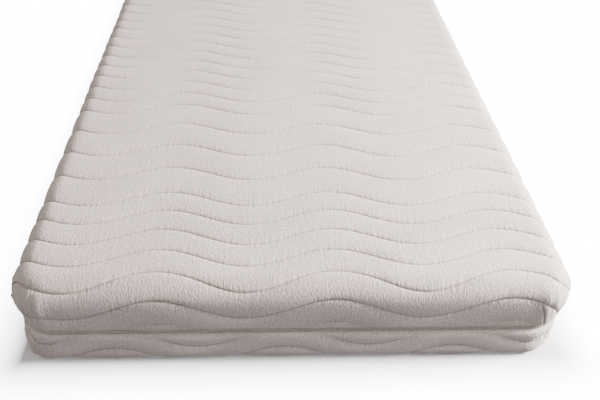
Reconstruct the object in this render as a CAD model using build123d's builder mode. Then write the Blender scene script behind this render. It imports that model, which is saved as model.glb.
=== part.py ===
from build123d import *
import os
from math import asin, degrees

# Pressure relief mattress: a foam core in a quilted cover whose upper half zips off.
# Millimetres. +Z is up, +Y points to the head end, and the origin is the middle of the underside.

# ---- overall size ----
width = 900.0
length = 2000.0
height = 160.0
corner_round = 60.0
top_edge_round = 35.0
bottom_edge_round = 18.0

# ---- quilted cover fabric ----
knit_thick = 1.5
wadding_thick = 5.5
backing_thick = 1.0
hem_round = 5.0

# ---- zip round the side ----
zip_height = 62.0
zip_opening = 8.0
tape_thick = 0.6
tape_behind_hem = 12.0
tape_gap = 1.2
coil_thick = 2.0
coil_width = 1.6

# ---- zip slider and pull ----
running_gap = 0.3
slider_length = 10.0
slider_wall = 1.1
slider_round = 2.2
post_thick = 0.6
post_length = 2.5
bail_length = 7.0
bail_wall = 1.0
bail_width = 1.6
bail_round = 0.8
pull_width = 4.4
pull_length = 26.0
pull_thick = 1.2
pull_gap = 0.25
pull_tip_round = 1.6
pull_hole_dia = 1.8
eye_width = 2.6
eye_length = 4.6

# ---- ends of the zip, beside the head corner on the +X side ----
park_margin = 40.0
stop_length = 3.0
stop_gap = 3.0
stop_lip = 0.4
stop_round = 0.4
box_length = 8.0
box_gap = 5.0
box_wall = 0.8
box_hem_gap = 0.3
insert_pin_height = 1.8
insert_pin_overhang = 2.0
tape_break = 1.0

# ---- sewn seams at the cover corners ----
seam_setback = 40.0
seam_allowance = 8.0
seam_thick = 1.2
seam_end_gap = 1.0

# ---- foam core ----
core_side_gap = 0.5
core_rest_gap = 0.4
sleeve_thick = 0.5
base_thick = 30.0
comfort_thick = 50.0
bolster_width = 90.0
heel_length = 400.0
slot_width = 6.0
slot_depth = 35.0
slot_pitch = 52.0
slots_per_zone = 7
shoulder_zone = 480.0
hip_zone = -60.0

# ---- depths from the side and levels that follow from the sizes above ----
wadding_inset = knit_thick + wadding_thick
pocket_inset = wadding_inset + backing_thick
tape_inset = pocket_inset + tape_thick
coil_inset = pocket_inset - coil_thick
slider_face = coil_inset - running_gap - slider_wall
slider_back = tape_inset + running_gap
core_inset = slider_back + slider_wall + core_side_gap
core_bottom = pocket_inset + core_rest_gap
core_top = height - pocket_inset - core_rest_gap
foam_inset = core_inset + sleeve_thick
foam_bottom = core_bottom + sleeve_thick
foam_top = core_top - sleeve_thick
support_bottom = foam_bottom + base_thick
support_top = foam_top - comfort_thick

# ---- places along the +X side, from the parked slider to the start of the chain ----
park_y = length / 2 - corner_round - park_margin
chain_end = park_y - slider_length / 2 - running_gap
stop_start = park_y + slider_length / 2 + stop_gap
stop_end = stop_start + stop_length
box_start = stop_end + box_gap
box_end = box_start + box_length
chain_start = box_end + insert_pin_overhang

os.makedirs("parts", exist_ok=True)


def save(piece, name):
    """Label a finished piece and write it under its own name."""
    piece.label = name
    export_step(piece, f"parts/{name}.step")


def block(inset, start, end, end_round=0.0, start_round=0.0):
    """Solid on the mattress outline, drawn in by an inset, with a radius on each rim."""
    low, high = min(start, end), max(start, end)
    low_round, high_round = (start_round, end_round) if end > start else (end_round, start_round)
    with BuildPart(mode=Mode.PRIVATE) as body:
        with BuildSketch(Plane.XY.offset(low)):
            RectangleRounded(width - 2 * inset, length - 2 * inset, corner_round - inset)
        extrude(amount=high - low)
        if high_round > 0:
            fillet(body.faces().sort_by(Axis.Z)[-1].edges(), high_round)
        if low_round > 0:
            fillet(body.faces().sort_by(Axis.Z)[0].edges(), low_round)
    return body.part


def ring(outer_inset, inner_inset, start, end):
    """Band that runs all the way round the side of the mattress."""
    with BuildPart(mode=Mode.PRIVATE) as band:
        with BuildSketch(Plane.XY.offset(min(start, end))):
            RectangleRounded(width - 2 * outer_inset, length - 2 * outer_inset, corner_round - outer_inset)
            RectangleRounded(width - 2 * inner_inset, length - 2 * inner_inset, corner_round - inner_inset,
                             mode=Mode.SUBTRACT)
        extrude(amount=abs(end - start))
    return band.part


def side_box(outer_inset, inner_inset, y_start, y_end, z_start, z_end):
    """Box beside the +X side, placed by its depths in from that side."""
    centre = (width / 2 - (outer_inset + inner_inset) / 2, (y_start + y_end) / 2, (z_start + z_end) / 2)
    with BuildPart(mode=Mode.PRIVATE) as small_box:
        with Locations(centre):
            Box(inner_inset - outer_inset, y_end - y_start, abs(z_end - z_start))
    return small_box.part


# ---- the two halves of the cover ----
# Seams stand in the corner rounds: one at each corner, set back from the end face, and on the upper half
# a dart at the foot corner on the +X side, set back from the side. Angles are in degrees from +X.
arc_x = width / 2 - corner_round
arc_y = length / 2 - corner_round
seam_turn = degrees(asin((corner_round - seam_setback) / corner_round))
panel_seams = [
    Location((x, y, height / 2), (0, 0, angle))
    for x, y, angle in [(arc_x, -arc_y, -seam_turn), (arc_x, arc_y, seam_turn),
                        (-arc_x, arc_y, 180 - seam_turn), (-arc_x, -arc_y, 180 + seam_turn)]
]
foot_dart = Location((arc_x, -arc_y, height / 2), (0, 0, seam_turn - 90))

# Each half: its name, the level of its hem, of its far face, and its far rim's radius,
# where its zip coil stops beside the slider, and its corner seams.
halves = [
    ("upper", zip_height + zip_opening / 2, height, top_edge_round, chain_end, [*panel_seams, foot_dart]),
    ("lower", zip_height - zip_opening / 2, 0.0, bottom_edge_round, stop_start, panel_seams),
]

for half, hem, face, rim_round, coil_end, seam_places in halves:
    away = 1 if face > hem else -1
    lining = hem + away * knit_thick

    # Knit: the face fabric, turned in at the hem to meet the zip tape.
    knit_body = block(0.0, hem, face, rim_round, hem_round)
    knit_hollow = block(knit_thick, lining, face - away * knit_thick, rim_round - knit_thick,
                        hem_round - knit_thick)
    knit_mouth = block(pocket_inset, hem, lining)
    with BuildPart() as cover_knit:
        add(knit_body)
        add(knit_hollow, mode=Mode.SUBTRACT)
        add(knit_mouth, mode=Mode.SUBTRACT)
    save(cover_knit.part, f"{half}_cover_knit")

    # Wadding: the soft filling of the quilt.
    wadding_hollow = block(wadding_inset, lining, face - away * wadding_inset, rim_round - wadding_inset)
    with BuildPart() as cover_wadding:
        add(knit_hollow)
        add(wadding_hollow, mode=Mode.SUBTRACT)
    save(cover_wadding.part, f"{half}_cover_wadding")

    # Backing: the thin inner fabric that faces the core.
    pocket = block(pocket_inset, lining, face - away * pocket_inset, rim_round - pocket_inset)
    with BuildPart() as cover_backing:
        add(wadding_hollow)
        add(pocket, mode=Mode.SUBTRACT)
    save(cover_backing.part, f"{half}_cover_backing")

    # Corner seams: the turned-in allowance of the seam beside each corner.
    seam_band = ring(pocket_inset, pocket_inset + seam_thick,
                     hem + away * (tape_behind_hem + seam_end_gap), face - away * (rim_round + seam_end_gap))
    with BuildPart(mode=Mode.PRIVATE) as seam_windows:
        with Locations(*seam_places):
            Box(corner_round, seam_allowance, height, align=(Align.MIN, Align.CENTER, Align.CENTER))
    with BuildPart() as corner_seams:
        add(seam_band)
        add(seam_windows.part, mode=Mode.INTERSECT)
    save(corner_seams.part, f"{half}_corner_seams")

    # Zip tape: sewn behind the hem, broken between the two ends of the zip.
    inner_edge = zip_height + away * tape_gap / 2
    tape_ring = ring(pocket_inset, tape_inset, inner_edge, hem + away * tape_behind_hem)
    break_start = (stop_end + box_start - tape_break) / 2
    tape_gap_box = side_box(coil_inset, core_inset, break_start, break_start + tape_break,
                            inner_edge, hem + away * tape_behind_hem)
    with BuildPart() as zip_tape:
        add(tape_ring)
        add(tape_gap_box, mode=Mode.SUBTRACT)
    save(zip_tape.part, f"{half}_zip_tape")

    # Zip coil: the envelope of the teeth along the tape's edge.
    coil_edge = inner_edge + away * coil_width
    coil_ring = ring(coil_inset, pocket_inset, inner_edge, coil_edge)
    coil_gap_box = side_box(0.0, tape_inset, coil_end, chain_start, inner_edge, coil_edge)
    with BuildPart() as zip_coil:
        add(coil_ring)
        add(coil_gap_box, mode=Mode.SUBTRACT)
    save(zip_coil.part, f"{half}_zip_coil")

    # End stop: clenched on the tape where the chain ends.
    stop_block = side_box(coil_inset, pocket_inset, stop_start, stop_end, inner_edge,
                          coil_edge + away * stop_lip)
    with BuildPart() as zip_stop:
        add(stop_block)
        fillet(zip_stop.faces().sort_by(Axis.X)[-1].edges(), stop_round)
    save(zip_stop.part, f"{half}_zip_stop")

# ---- start of the zip: a pin on the upper tape that stands in a box on the lower tape ----
pin_low = zip_height + tape_gap / 2
insert_block = side_box(coil_inset, pocket_inset, box_start - insert_pin_overhang, chain_start,
                        pin_low, pin_low + insert_pin_height)
with BuildPart() as zip_insert_pin:
    add(insert_block)
    fillet(zip_insert_pin.faces().sort_by(Axis.X)[-1].edges(), stop_round)
save(zip_insert_pin.part, "zip_insert_pin")

box_seat = pin_low - running_gap
box_base = box_seat - (zip_height - zip_opening / 2 + box_hem_gap)
box_outer = coil_inset - running_gap - box_wall
seat_block = side_box(box_outer, pocket_inset, box_start, box_end, box_seat - box_base, box_seat)
lip_block = side_box(box_outer, box_outer + box_wall, box_start, box_end, box_seat, box_seat + insert_pin_height)
with BuildPart() as zip_retainer_box:
    add(seat_block)
    add(lip_block)
    fillet(zip_retainer_box.edges().filter_by(Axis.X).group_by(Axis.Z)[0], stop_round)
save(zip_retainer_box.part, "zip_retainer_box")

# ---- slider: a channel round both coils, with a bail on its face ----
slider_width = zip_opening - 2 * running_gap
coil_far = tape_gap / 2 + coil_width
flange_wall = slider_width / 2 - coil_far - running_gap
flange_depth = pocket_inset - running_gap - slider_face
pin_depth = slider_face - pull_gap - pull_thick / 2
bail_height = slider_face - pin_depth + pull_thick / 2 + pull_gap + bail_wall
section = Plane(origin=(width / 2, park_y - slider_length / 2, zip_height), x_dir=(-1, 0, 0), z_dir=(0, 1, 0))
outline = Plane(origin=(width / 2, park_y, zip_height), x_dir=(0, 1, 0), z_dir=(1, 0, 0))
bail_plane = Plane(origin=(width / 2 - slider_face, park_y, zip_height), x_dir=(1, 0, 0), z_dir=(0, 0, 1))

with BuildPart() as zip_slider:
    with BuildSketch(section):
        with Locations((slider_face + slider_wall / 2, 0), (slider_back + slider_wall / 2, 0)):
            Rectangle(slider_wall, slider_width)
        with Locations((slider_face, coil_far + running_gap)):
            Rectangle(flange_depth, flange_wall, align=(Align.MIN, Align.MIN))
        with Locations((slider_face, -coil_far - running_gap)):
            Rectangle(flange_depth, flange_wall, align=(Align.MIN, Align.MAX))
    extrude(amount=slider_length)
    with BuildSketch(outline):
        RectangleRounded(slider_length, slider_width, slider_round)
    extrude(amount=-core_inset, mode=Mode.INTERSECT)
    with BuildSketch(section.offset(slider_length - post_length)):
        with Locations((slider_face, 0)):
            Rectangle(slider_back - slider_face + slider_wall / 2, post_thick, align=(Align.MIN, Align.CENTER))
    extrude(amount=post_length)
    with BuildSketch(bail_plane):
        with Locations((bail_height / 2, 0)):
            Rectangle(bail_height, bail_length)
        with Locations(((bail_height - bail_wall) / 2, 0)):
            Rectangle(bail_height - bail_wall, bail_length - 2 * bail_wall, mode=Mode.SUBTRACT)
    extrude(amount=bail_width / 2, both=True)
    fillet(zip_slider.edges().filter_by(Axis.Z).group_by(Axis.X)[-1], bail_round)
save(zip_slider.part, "zip_slider")

# ---- pull: a tab whose eye hooks under the bail and swings about an upright line ----
pull_plane = Plane(origin=(width / 2 - pin_depth, park_y, zip_height), x_dir=(0, -1, 0), z_dir=(-1, 0, 0))
pin_plane = Plane(origin=(width / 2 - pin_depth, park_y, zip_height))

with BuildPart() as zip_pull:
    with BuildSketch(pull_plane) as tab:
        Rectangle(pull_length, pull_width, align=(Align.MIN, Align.CENTER))
        fillet(tab.vertices().group_by(Axis.Y)[0], pull_tip_round)
        Rectangle(eye_length, eye_width, align=(Align.MIN, Align.CENTER), mode=Mode.SUBTRACT)
        with Locations((pull_length - pull_width / 2, 0)):
            Circle(pull_hole_dia / 2, mode=Mode.SUBTRACT)
    extrude(amount=pull_thick / 2, both=True)
    with BuildSketch(pin_plane):
        Circle(pull_thick / 2)
    extrude(amount=pull_width / 2, both=True)
save(zip_pull.part, "zip_pull")

# ---- foam core in its sleeve ----
sleeve_body = block(core_inset, core_bottom, core_top, top_edge_round - core_inset,
                    bottom_edge_round - core_inset)
sleeve_hollow = block(foam_inset, foam_bottom, foam_top, top_edge_round - foam_inset,
                      bottom_edge_round - foam_inset)
with BuildPart() as core_sleeve:
    add(sleeve_body)
    add(sleeve_hollow, mode=Mode.SUBTRACT)
save(core_sleeve.part, "core_sleeve")

base_block = block(foam_inset, foam_bottom, support_bottom, 0.0, bottom_edge_round - foam_inset)
with BuildPart() as base_layer:
    add(base_block)
save(base_layer.part, "base_layer")

comfort_block = block(foam_inset, support_top, foam_top, top_edge_round - foam_inset)
with BuildPart() as comfort_layer:
    add(comfort_block)
save(comfort_layer.part, "comfort_layer")

support_block = block(foam_inset, support_bottom, support_top)
bolster_edge = width / 2 - foam_inset - bolster_width
heel_edge = foam_inset + heel_length - length / 2

with BuildPart() as left_bolster:
    add(support_block)
    split(bisect_by=Plane.YZ.offset(-bolster_edge), keep=Keep.BOTTOM)
save(left_bolster.part, "left_bolster")

with BuildPart() as right_bolster:
    add(support_block)
    split(bisect_by=Plane.YZ.offset(bolster_edge), keep=Keep.TOP)
save(right_bolster.part, "right_bolster")

with BuildPart() as support_layer:
    add(support_block)
    split(bisect_by=Plane.YZ.offset(-bolster_edge), keep=Keep.TOP)
    split(bisect_by=Plane.YZ.offset(bolster_edge), keep=Keep.BOTTOM)
    split(bisect_by=Plane.XZ.offset(-heel_edge), keep=Keep.BOTTOM)
    with Locations((0, shoulder_zone, support_top), (0, hip_zone, support_top)):
        with GridLocations(width, slot_pitch, 1, slots_per_zone):
            Box(width, slot_width, slot_depth, align=(Align.CENTER, Align.CENTER, Align.MAX),
                mode=Mode.SUBTRACT)
save(support_layer.part, "support_layer")

with BuildPart() as heel_insert:
    add(support_block)
    split(bisect_by=Plane.YZ.offset(-bolster_edge), keep=Keep.TOP)
    split(bisect_by=Plane.YZ.offset(bolster_edge), keep=Keep.BOTTOM)
    split(bisect_by=Plane.XZ.offset(-heel_edge), keep=Keep.TOP)
save(heel_insert.part, "heel_insert")
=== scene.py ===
"""Looks of the pressure relief mattress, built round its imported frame.

The cover halves are quilted shells laid out in the plane of their fabric, so that the sewn waves, the zip
and the stitches all follow the same rim. Lengths are metres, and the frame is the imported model's own.
"""

import sys
import logging
from dataclasses import dataclass, field
from enum import Enum
from math import asin, cos, degrees, pi, radians, sin

import bmesh
import bpy
import numpy as np
from mathutils import Matrix, Vector


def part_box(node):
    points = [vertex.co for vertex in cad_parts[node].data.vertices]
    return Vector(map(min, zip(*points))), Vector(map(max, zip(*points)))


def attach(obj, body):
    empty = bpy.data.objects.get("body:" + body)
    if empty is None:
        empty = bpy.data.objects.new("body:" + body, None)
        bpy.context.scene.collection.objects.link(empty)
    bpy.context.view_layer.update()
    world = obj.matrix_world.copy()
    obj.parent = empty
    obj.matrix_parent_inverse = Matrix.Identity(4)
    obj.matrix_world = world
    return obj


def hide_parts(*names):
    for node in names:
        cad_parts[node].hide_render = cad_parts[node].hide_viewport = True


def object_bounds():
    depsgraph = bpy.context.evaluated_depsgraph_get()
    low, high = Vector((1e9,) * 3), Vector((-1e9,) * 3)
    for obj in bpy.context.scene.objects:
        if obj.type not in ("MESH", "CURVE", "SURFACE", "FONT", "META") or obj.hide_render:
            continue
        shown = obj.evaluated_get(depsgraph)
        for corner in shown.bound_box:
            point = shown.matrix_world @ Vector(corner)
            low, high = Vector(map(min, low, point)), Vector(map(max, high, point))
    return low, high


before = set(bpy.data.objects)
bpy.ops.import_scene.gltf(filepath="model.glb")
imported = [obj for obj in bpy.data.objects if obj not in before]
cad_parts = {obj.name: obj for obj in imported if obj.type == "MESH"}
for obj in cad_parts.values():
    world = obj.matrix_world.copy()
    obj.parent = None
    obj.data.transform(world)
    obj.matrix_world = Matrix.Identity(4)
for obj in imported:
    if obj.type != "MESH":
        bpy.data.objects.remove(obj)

log = logging.getLogger("mattress")
MM = 0.001
CAD_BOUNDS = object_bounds()

SEAM_TURN = degrees(asin(20 / 60))
PANEL_SEAMS = (-SEAM_TURN, SEAM_TURN, 180 - SEAM_TURN, 180 + SEAM_TURN)
FOOT_DART = SEAM_TURN - 90


class Half(Enum):
    """The two halves of the cover, and which way each one faces."""

    UPPER = 1
    LOWER = -1

    @property
    def word(self) -> str:
        """Name of the half as its pieces carry it."""
        return self.name.lower()


# ---------------------------------------------------------------- outline and rim


@dataclass(frozen=True)
class Outline:
    """Plan of the mattress: a rectangle with round corners.

    The fabric plane is measured from the middle of a face. Past the corner arcs' centres it is laid round
    the rim, and each square beyond a corner's centre is fanned into that corner.
    """

    width: float
    length: float
    corner: float

    @property
    def arc_x(self) -> float:
        """Distance of the corner arcs' centres from the middle, across."""
        return self.width / 2 - self.corner

    @property
    def arc_y(self) -> float:
        """Distance of the corner arcs' centres from the middle, along."""
        return self.length / 2 - self.corner

    def spread(self, across: np.ndarray, along: np.ndarray) -> dict[str, np.ndarray]:
        """Lay fabric points out on the plan.

        Args:
            across: fabric distances across the width.
            along: fabric distances along the length.

        Returns:
            Arc centres "cx" and "cy", outward directions "dx" and "dy", the fabric "reach" past the
            centre, and "turn", the angle from the long side's normal to the end's normal.
        """
        a = np.maximum(np.abs(across) - self.arc_x, 0.0)
        b = np.maximum(np.abs(along) - self.arc_y, 0.0)
        tiny = 1e-9
        turn = np.where(a >= b, pi / 4 * b / np.maximum(a, tiny), pi / 2 - pi / 4 * a / np.maximum(b, tiny))
        return {
            "cx": np.clip(across, -self.arc_x, self.arc_x),
            "cy": np.clip(along, -self.arc_y, self.arc_y),
            "dx": np.where(across < 0, -1.0, 1.0) * np.cos(turn),
            "dy": np.where(along < 0, -1.0, 1.0) * np.sin(turn),
            "reach": np.maximum(a, b),
            "turn": turn,
        }


@dataclass(frozen=True)
class Rim:
    """Section of a shell from the middle of its face, over the rim and down to its hem.

    Points are (depth in from the outermost side, height), in order.
    """

    points: tuple[tuple[float, float], ...]
    corner: float
    facing: int

    def line(self) -> tuple[np.ndarray, np.ndarray, np.ndarray]:
        """Section as running length, distance out from the arc centre, and height.

        Returns:
            Running lengths, distances out and heights.
        """
        depth = np.array([p[0] for p in self.points])
        height = np.array([p[1] for p in self.points])
        out = self.corner - depth
        run = np.concatenate([[0.0], np.cumsum(np.hypot(np.diff(out), np.diff(height)))])
        return run, out, height

    @property
    def total(self) -> float:
        """Running length from the arc centre to the hem."""
        return float(self.line()[0][-1])

    def at(self, share: np.ndarray) -> tuple[np.ndarray, np.ndarray, np.ndarray, np.ndarray]:
        """Place and outward normal at shares of the running length.

        Args:
            share: 0 at the arc centre, 1 at the hem.

        Returns:
            Distance out, height, and the normal's two components.
        """
        run, out, height = self.line()
        where = share * run[-1]
        step = 0.6 * MM
        ahead, behind = np.minimum(where + step, run[-1]), np.maximum(where - step, 0.0)
        d_out = np.interp(ahead, run, out) - np.interp(behind, run, out)
        d_height = np.interp(ahead, run, height) - np.interp(behind, run, height)
        size = np.maximum(np.hypot(d_out, d_height), 1e-12)
        return (
            np.interp(where, run, out),
            np.interp(where, run, height),
            -self.facing * d_height / size,
            self.facing * d_out / size,
        )


def arc_points(
    centre: tuple[float, float], radii: tuple[float, float], start: float, end: float, count: int
) -> list[tuple[float, float]]:
    """Points of an elliptical arc in a section.

    Args:
        centre: depth and height of the arc's centre.
        radii: its radii in depth and height.
        start: first angle in degrees, from the inward direction.
        end: last angle in degrees.
        count: number of points.

    Returns:
        The points as (depth, height).
    """
    angles = [radians(start + (end - start) * i / (count - 1)) for i in range(count)]
    return [(centre[0] + radii[0] * cos(a), centre[1] + radii[1] * sin(a)) for a in angles]


# ---------------------------------------------------------------- quilting


@dataclass(frozen=True)
class Quilting:
    """Sewn rows of waves that run across the fabric, and the puffs between them."""

    rows: tuple[float, ...]
    swing: float = 20.0 * MM
    wave_length: float = 284.0 * MM
    crest: float = 72.0 * MM
    dive: float = 0.7
    seam_turn: float = radians(19.5)
    seam_blend: float = radians(8.0)
    flat_reach: float = 25.0 * MM
    rolled_reach: float = 80.0 * MM
    dome_share: float = 0.52
    dome_power: float = 2.5
    lip_share: float = 0.48
    lip_width: float = 1.5 * MM
    least_rise: float = 2.4
    added_rise: float = 1.8
    widest_gap: float = 79.0 * MM
    plumpness: float = 1.3
    row_depth: float = 0.72

    def fabric(
        self, outline: Outline, across: np.ndarray, along: np.ndarray
    ) -> tuple[np.ndarray, np.ndarray]:
        """Fabric position that the pattern is sewn on, eased round the corners.

        The end panel's fabric turns into the side panel's at each corner seam.

        Args:
            outline: plan of the mattress.
            across: laid-out distances across.
            along: laid-out distances along.

        Returns:
            Pattern distances across and along.
        """
        place = outline.spread(across, along)
        reach, turn = place["reach"], place["turn"]
        rolled = np.clip((reach - self.flat_reach) / (self.rolled_reach - self.flat_reach), 0.0, 1.0)
        rolled = rolled * rolled * (3 - 2 * rolled)
        side = turn
        end = pi / 2 - turn
        arc = outline.corner

        def ahead(angle: np.ndarray) -> np.ndarray:
            """Distance straight past the corner, eased as the cloth rolls."""
            return reach * ((1 - rolled) * np.cos(angle) + rolled * (1 - self.dive * (1 - np.cos(angle))))

        def round_corner(angle: np.ndarray) -> np.ndarray:
            """Distance round the corner."""
            return (1 - rolled) * reach * np.sin(angle) + rolled * arc * angle

        seam = np.clip((side - self.seam_turn) / self.seam_blend * 0.5 + 0.5, 0.0, 1.0)
        corner = (place["cx"] != across) & (place["cy"] != along)
        corner_x = seam * round_corner(end) + (1 - seam) * ahead(side)
        corner_y = seam * ahead(end) + (1 - seam) * round_corner(side)
        x_past = np.where(corner, corner_x, np.abs(across - place["cx"]))
        y_past = np.where(corner, corner_y, np.abs(along - place["cy"]))
        return (
            place["cx"] + np.where(across < 0, -1, 1) * x_past,
            place["cy"] + np.where(along < 0, -1, 1) * y_past,
        )

    def level(self, fabric_x: np.ndarray, fabric_y: np.ndarray) -> np.ndarray:
        """Pattern level of a fabric point: it equals a row's value all along that row's wave."""
        return fabric_y + self.swing * (1 - np.cos(2 * pi * (fabric_x - self.crest) / self.wave_length))

    def row_lines(self) -> np.ndarray:
        """Levels at which the cloth has a line of points: each row, its lips and the swell between rows.

        Returns:
            The levels in rising order.
        """
        lips = np.array([0.0, 1.0, 2.6, 6.0, 12.0]) * MM
        swell_step = 8.0 * MM
        levels: list[float] = []
        for low, high in zip(self.rows[:-1], self.rows[1:]):
            inner = max(int((high - low - 2 * lips[-1]) / swell_step), 1)
            levels += [low + lip for lip in lips]
            levels += [low + lips[-1] + (high - low - 2 * lips[-1]) * i / inner for i in range(1, inner)]
            levels += [high - lip for lip in lips[:0:-1]]
        return np.array(levels + [self.rows[-1]])

    def puff(self, level: np.ndarray, widen: float = 0.0) -> tuple[np.ndarray, np.ndarray]:
        """Swell of the cloth between rows.

        Args:
            level: pattern levels.
            widen: extra half width of the groove at each row.

        Returns:
            Height over the middle of the quilt, and the distance to the nearest row.
        """
        rows = np.array(self.rows)
        after = np.clip(np.searchsorted(rows, level), 1, len(rows) - 1)
        gap = rows[after] - rows[after - 1]
        near = np.clip(np.minimum(level - rows[after - 1], rows[after] - level), 0.0, None)
        off = np.clip(near - widen, 0.0, None)
        share = np.clip(off / (gap / 2), 0.0, 1.0)
        dome = self.dome_share * (1 - (1 - share) ** self.dome_power)
        lip = self.lip_share * (1 - np.exp(-off / self.lip_width))
        rise = (self.least_rise + self.added_rise * gap / self.widest_gap) * MM
        return rise * (self.plumpness * (dome + lip) - self.row_depth), near


def sewn_rows(start: float, zones: tuple[tuple[int, float], ...], spare: int) -> tuple[float, ...]:
    """Rows of quilting from one end to the other, with spare rows past both ends.

    Args:
        start: level of the first row on the face.
        zones: for each zone, how many gaps it has and their pitch.
        spare: rows past each end, at the first and last pitch.

    Returns:
        The levels in rising order.
    """
    levels = [start]
    for count, pitch in zones:
        levels += [levels[-1] + pitch * (i + 1) for i in range(count)]
    before = [start - zones[0][1] * i for i in range(spare, 0, -1)]
    beyond = [levels[-1] + zones[-1][1] * i for i in range(1, spare + 1)]
    return tuple(before + levels + beyond)


# ---------------------------------------------------------------- cloth shells


@dataclass(frozen=True)
class Cloth:
    """Grid of fabric points that shells are made from, with its rows along the quilting where it has any."""

    outline: Outline
    reaches: tuple[float, ...]
    quilting: Quilting | None = None
    free_reaches: int = 0
    step: float = 14.0 * MM
    row_step: float = 30.0 * MM

    @property
    def total(self) -> float:
        """Fabric reach of the hem."""
        return self.reaches[-1]

    def axis(self, middle: float, step: float) -> np.ndarray:
        """Fabric distances from one hem to the other.

        Args:
            middle: distance of the arc centres from the middle.
            step: largest step between them.

        Returns:
            The distances in rising order.
        """
        past = middle + np.array(self.reaches)
        return np.concatenate([-past[::-1], np.linspace(-middle, middle, round(2 * middle / step) + 1), past])

    def points(self) -> tuple[np.ndarray, np.ndarray]:
        """Across and along distances of the grid, rows by columns.

        Returns:
            Distances across and along.
        """
        across = self.axis(self.outline.arc_x, self.step)
        if self.quilting is None:
            along = self.axis(self.outline.arc_y, self.row_step)
            return np.meshgrid(across, along)
        strip = self.outline.arc_y + np.array(self.reaches[self.free_reaches:])
        probe = np.linspace(-strip[0], strip[0], 2400)
        levels = self.quilting.row_lines()
        along = np.empty((len(levels), len(across)))
        for i, x in enumerate(across):
            level = self.quilting.level(*self.quilting.fabric(self.outline, np.full_like(probe, x), probe))
            level = np.maximum.accumulate(level) + np.arange(len(probe)) * 1e-10
            along[:, i] = np.interp(levels, level, probe)
        ends = np.repeat(strip[:, None], len(across), axis=1)
        along = np.vstack([-ends[::-1], along, ends])
        return np.repeat(across[None, :], len(along), axis=0), along


@dataclass(frozen=True)
class Relief:
    """How far a cover's surface stands off its plain form."""

    quilting: Quilting
    outline: Outline
    total: float
    corner_bulge: float = 0.0
    gather: float = 1.1 * MM
    widen: float = 0.0
    hem_fade: float = 14.0 * MM
    seed: int = 7

    def lift(self, across: np.ndarray, along: np.ndarray) -> np.ndarray:
        """Outward distance of the surface at fabric points.

        Args:
            across: laid-out distances across.
            along: laid-out distances along.

        Returns:
            The distance at each point.
        """
        fabric_x, fabric_y = self.quilting.fabric(self.outline, across, along)
        puff, _ = self.quilting.puff(self.quilting.level(fabric_x, fabric_y), self.widen)
        place = self.outline.spread(across, along)
        reach, turn = place["reach"], place["turn"]
        free = np.clip((self.total - reach) / self.hem_fade, 0.0, 1.0)
        free = free * free * (3 - 2 * free)
        rolling = np.sin(pi * np.clip((reach - 30 * MM) / (85 * MM), 0.0, 1.0))
        at_corner = np.sin(2 * np.clip(turn, 0.0, pi / 2)) ** 0.6
        folds = np.sin(turn * 60 * MM / (13 * MM) * 2 * pi + 1.3 * np.sin(5 * turn + along * 9))
        foot_left = np.where((across < 0) & (along < 0), 1.6, 1.0)
        gathers = self.gather * foot_left * rolling * at_corner * folds
        swelling = self.corner_bulge * at_corner * np.exp(-(((reach - 88 * MM) / (26 * MM)) ** 2))
        return puff * free + self.undulation(fabric_x, fabric_y) * free + gathers + swelling

    def undulation(self, fabric_x: np.ndarray, fabric_y: np.ndarray) -> np.ndarray:
        """Slow unevenness of hand-filled cloth, from a few seeded waves.

        Args:
            fabric_x: pattern distances across.
            fabric_y: pattern distances along.

        Returns:
            Height at each point.
        """
        draw = np.random.default_rng(self.seed)
        total = np.zeros_like(fabric_x)
        for _ in range(7):
            heading, wave, phase = draw.uniform(0, 2 * pi), draw.uniform(0.11, 0.42), draw.uniform(0, 2 * pi)
            swing = fabric_x * cos(heading) + fabric_y * sin(heading)
            total += 0.22 * MM * np.sin(2 * pi * swing / wave + phase)
        return total


@dataclass(frozen=True)
class Skin:
    """One side of a shell: its section and its relief, if it has one."""

    rim: Rim
    relief: Relief | None = None
    fullness: tuple[float, float] = (0.0, 0.0)
    full_below: float = 60 * MM

    def places(self, cloth: Cloth, across: np.ndarray, along: np.ndarray) -> np.ndarray:
        """Positions of fabric points on this side.

        Args:
            cloth: the grid's fabric.
            across: laid-out distances across.
            along: laid-out distances along.

        Returns:
            Positions, with x, y and z on the last axis.
        """
        spot = cloth.outline.spread(across, along)
        out, height, n_out, n_height = self.rim.at(spot["reach"] / cloth.total)
        lift = self.relief.lift(across, along) if self.relief else 0.0
        low_down = np.clip((self.full_below - height) / (20 * MM), 0.0, 1.0)
        corner = np.where(across < 0, *self.fullness) * (along < 0) * np.sin(2 * spot["turn"]) ** 2
        far = out + n_out * lift + corner * low_down * np.clip(out / (50 * MM), 0.0, 1.0) ** 2
        x = spot["cx"] + spot["dx"] * far
        y = spot["cy"] + spot["dy"] * far
        return np.stack([x, y, height + n_height * lift], -1)


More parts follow.
